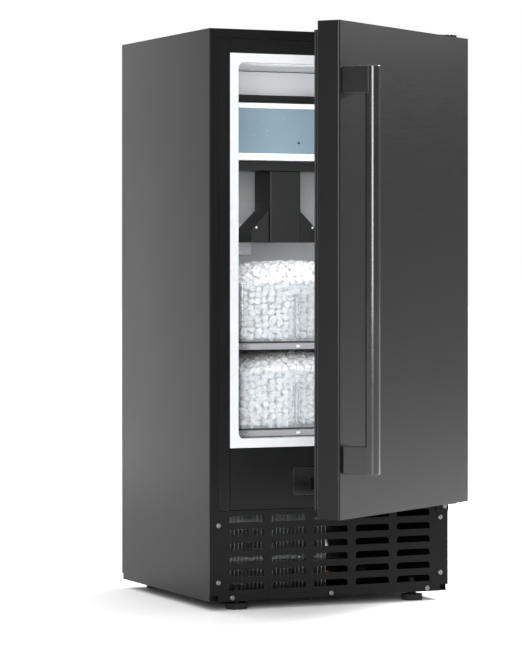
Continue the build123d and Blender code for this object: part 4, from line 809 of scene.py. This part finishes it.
class ICEMAKER_OT_curtain(bpy.types.Operator):
    """Water curtain with its white bars, pins and cheeks"""

    bl_idname = "icemaker.curtain"
    bl_label = "Water curtain"

    def execute(self, context):
        low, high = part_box("water_curtain")
        sheet = bmesh.new()
        half_sheet = 1.0 * MM
        plane_y = low.y + half_sheet
        slab(sheet, (low.x, plane_y - half_sheet, low.z), (high.x, plane_y + half_sheet, high.z),
             edge=0.3 * MM)
        for share in (0.25, 0.5, 0.75):
            x = low.x + share * (high.x - low.x)
            slab(sheet, (x - 0.8 * MM, plane_y + 0.9 * MM, low.z),
                 (x + 0.8 * MM, high.y, high.z), edge=0.2 * MM)
        place("curtain_sheet", sheet, curtain_plastic(), "curtain", ("water_curtain",))
        ribs = bmesh.new()
        rib_front = plane_y + 0.95 * MM
        strip_near, strip_far, rib_far = 30.0 * MM, 38.0 * MM, 116.0 * MM
        for side in (-1, 1):
            inner, outer = sorted((side * strip_far, side * rib_far))
            # height above the sheet's foot and thickness of each cross rib, in mm
            for rise, thickness in ((51.7, 4.5), (32.8, 1.2), (16.9, 7.5)):
                z = low.z + rise * MM
                slab(ribs, (inner, rib_front, z - thickness * MM / 2),
                     (outer, high.y, z + thickness * MM / 2), edge=0.3 * MM)
            near, far = sorted((side * strip_near, side * strip_far))
            slab(ribs, (near, rib_front, low.z + 1.0 * MM),
                 (far, high.y - 0.3 * MM, high.z - 1.0 * MM), edge=0.3 * MM)
        place("curtain_ribs", ribs, curtain_rib(), "curtain")
        dress("curtain_bars", bright_plastic(), 0.0)
        stud = bmesh.new()
        stud_x, stud_z = 19.0 * MM, low.z + 16.0 * MM
        rod(stud, (stud_x, plane_y - 1.5 * MM, stud_z), (stud_x, plane_y, stud_z),
            1.8 * MM, 0.4 * MM, segments=24)
        place("curtain_stud", stud, moulded_black(), "curtain")
        dress("curtain_cheeks", bright_plastic(), 0.5 * MM, 2)
        return {"FINISHED"}


class ICEMAKER_OT_mould(bpy.types.Operator):
    """Ice mould, its cover, trim, coil and water distributor"""

    bl_idname = "icemaker.mould"
    bl_label = "Ice mould"

    def execute(self, context):
        dress("evaporator_cover", grey_plastic(), 0.3 * MM, 2)
        dress("evaporator_trim", moulded_black(), 0.3 * MM, 2)
        dress("ice_mould", mould_metal(), 0.2 * MM, 1)
        dress("evaporator_coil", copper(), 0.0)
        dress("water_distributor", bright_plastic(), 0.0)
        return {"FINISHED"}


class ICEMAKER_OT_water_parts(bpy.types.Operator):
    """Tray, pump tower, hoses, valve and ice sensor"""

    bl_idname = "icemaker.water_parts"
    bl_label = "Water parts"

    def execute(self, context):
        dress("water_tray", sump_plastic(), 0.4 * MM, 2)
        dress("pump_housing", sump_plastic(), 0.8 * MM, 3)
        dress("pump_cover", sump_plastic(), 0.6 * MM, 3)
        dress("water_pump", moulded_black(), 0.0)
        dress("water_hoses", hose_plastic(), 0.0)
        dress("water_inlet_valve", valve_plastic(), 0.3 * MM, 2)
        dress("ice_level_sensor", bright_plastic(), 0.4 * MM, 2)
        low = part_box("pump_housing")[0]
        screws = bmesh.new()
        half_slot, half_line = 1.3 * MM, 0.25 * MM
        for side in (-1, 1):
            centre = Vector((side * 46.0 * MM, low.y - 1.0 * MM, low.z + 22.0 * MM))
            rod(screws, centre + Vector((0, 1.6 * MM, 0)), centre, 2.0 * MM, 0.5 * MM, segments=28)
            slab(screws, centre - Vector((half_slot, 0.05 * MM, half_line)),
                 centre + Vector((half_slot, 0.3 * MM, half_line)))
        place("sump_screws", screws, zinc(), "cabinet")
        return {"FINISHED"}


class ICEMAKER_OT_machine(bpy.types.Operator):
    """Compressor, condenser, fan, pipes and the cord's gland"""

    bl_idname = "icemaker.machine"
    bl_label = "Machine compartment"

    def execute(self, context):
        dress("compressor", compressor_enamel(), 0.0)
        dress("compressor_grommets", rubber(), 0.4 * MM, 2)
        paint(aluminium(), "condenser")
        dress("fan_shroud", moulded_black(), 0.3 * MM, 2)
        dress("fan_motor", galvanised(), 0.0)
        dress("fan_blade", moulded_black(), 0.0)
        dress("copper_pipes", copper(), 0.0)
        dress("cord_gland", moulded_black(), 0.3 * MM, 2)
        return {"FINISHED"}


class ICEMAKER_OT_stage(bpy.types.Operator):
    """Floor, lights, world and camera"""

    bl_idname = "icemaker.stage"
    bl_label = "Stage"

    def execute(self, context):
        floor_mesh = bmesh.new()
        floor_half, floor_drop = 30.0, 0.2 * MM
        bmesh.ops.create_grid(floor_mesh, x_segments=1, y_segments=1, size=floor_half)
        bmesh.ops.translate(floor_mesh, vec=(0.0, 0.0, -floor_drop), verts=floor_mesh.verts)
        mesh = bpy.data.meshes.new("floor")
        floor_mesh.to_mesh(mesh)
        floor_mesh.free()
        mesh.materials.append(surface("pale_floor", (0.90, 0.90, 0.90), 0.6, bump=0.0, mottle=0.0,
                                      gloss_change=0.02, specular=0.2))
        floor = bpy.data.objects.new("floor", mesh)
        context.collection.objects.link(floor)
        # name, place, aim, width and height in m, and power in W
        lamps = (
            ("right_softbox", (2.3, 0.25, 2.05), (0.15, -0.25, 0.80), 1.3, 1.5, 170.0),
            ("left_rear_softbox", (-0.48, 0.95, 0.60), (-0.19, 0.12, 0.50), 0.2, 1.1, 2.4),
            ("front_fill", (-1.75, -3.4, 1.1), (0.0, -0.1, 0.45), 1.5, 1.5, 88.0),
            ("inside_lamp", (0.0, -0.152, 0.45), (0.0, 0.10, 0.45), 0.24, 0.42, 0.36),
            ("upper_lamp", (0.0, -0.150, 0.775), (0.0, 0.0, 0.74), 0.24, 0.01, 0.10),
        )
        for name, place_at, aim, width, height, power in lamps:
            lamp = bpy.data.lights.new(name, "AREA")
            lamp.shape = "RECTANGLE"
            lamp.size = width
            lamp.size_y = height
            lamp.energy = power
            holder = bpy.data.objects.new(name, lamp)
            holder.location = place_at
            aim_line = Vector(aim) - Vector(place_at)
            holder.rotation_euler = aim_line.to_track_quat("-Z", "Y").to_euler()
            holder.visible_camera = False
            context.collection.objects.link(holder)
        world = bpy.data.worlds.new("studio")
        world.use_nodes = True
        tree = world.node_tree
        background = tree.nodes["Background"]
        direction = node_at(tree, "ShaderNodeTexCoord", -1100, 0)
        toward = node_at(tree, "ShaderNodeVectorMath", -900, 100)
        toward.operation = "DOT_PRODUCT"
        backdrop_turn = math.radians(24.0)
        toward.inputs[1].default_value = (math.sin(backdrop_turn), math.cos(backdrop_turn), 0.0)
        tree.links.new(direction.outputs["Generated"], toward.inputs[0])
        backdrop = remap(tree, toward.outputs["Value"], 0.28, 1.0, -700, 100, 0.86, 0.96)
        height = node_at(tree, "ShaderNodeSeparateXYZ", -900, -100)
        tree.links.new(direction.outputs["Generated"], height.inputs["Vector"])
        overhead = remap(tree, height.outputs["Z"], 0.28, 1.6, -700, -100, 0.22, 0.75)
        brighter = node_at(tree, "ShaderNodeMath", -450, 0)
        brighter.operation = "MAXIMUM"
        tree.links.new(backdrop, brighter.inputs[0])
        tree.links.new(overhead, brighter.inputs[1])
        tree.links.new(brighter.outputs["Value"], background.inputs["Strength"])
        background.inputs["Color"].default_value = (1.0, 1.0, 1.0, 1.0)
        context.scene.world = world
        context.scene.view_settings.view_transform = "Standard"
        lens = bpy.data.cameras.new("camera")
        lens.lens = 157.63
        lens.sensor_width = 36.0
        lens.shift_y = -0.0868
        camera = bpy.data.objects.new("camera", lens)
        camera.location = (-1.77906, -3.88548, 0.48308)
        camera.rotation_euler = (math.radians(90.0), 0.0, -math.radians(24.183))
        context.collection.objects.link(camera)
        context.scene.camera = camera
        return {"FINISHED"}


piece_operators = (
    ICEMAKER_OT_shell, ICEMAKER_OT_feet, ICEMAKER_OT_grille, ICEMAKER_OT_screws, ICEMAKER_OT_liner,
    ICEMAKER_OT_controls, ICEMAKER_OT_display, ICEMAKER_OT_buttons, ICEMAKER_OT_hinges,
    ICEMAKER_OT_door, ICEMAKER_OT_handle, ICEMAKER_OT_bins, ICEMAKER_OT_ice, ICEMAKER_OT_curtain,
    ICEMAKER_OT_mould, ICEMAKER_OT_water_parts, ICEMAKER_OT_machine, ICEMAKER_OT_stage,
)


class ICEMAKER_PT_pieces(bpy.types.Panel):
    """Lists the ice maker's pieces and what can be changed"""

    bl_idname = "ICEMAKER_PT_pieces"
    bl_label = "Ice maker"
    bl_space_type = "VIEW_3D"
    bl_region_type = "UI"
    bl_category = "Ice maker"

    def draw(self, context):
        for settings in (context.scene.ice_maker_finish, context.scene.ice_maker_sizes):
            for key in settings.bl_rna.properties.keys():
                if key not in ("rna_type", "name"):
                    self.layout.prop(settings, key)
        for operator in piece_operators:
            self.layout.operator(operator.bl_idname)


classes = (IceMakerFinish, IceMakerSizes, *piece_operators, ICEMAKER_PT_pieces)


def register():
    for cls in classes:
        bpy.utils.register_class(cls)
    bpy.types.Scene.ice_maker_finish = PointerProperty(type=IceMakerFinish)
    bpy.types.Scene.ice_maker_sizes = PointerProperty(type=IceMakerSizes)


def unregister():
    del bpy.types.Scene.ice_maker_sizes
    del bpy.types.Scene.ice_maker_finish
    for cls in reversed(classes):
        bpy.utils.unregister_class(cls)


def main():
    register()
    for operator in piece_operators:
        group, name = operator.bl_idname.split(".")
        getattr(getattr(bpy.ops, group), name)()


if __name__ == "__main__":
    main()
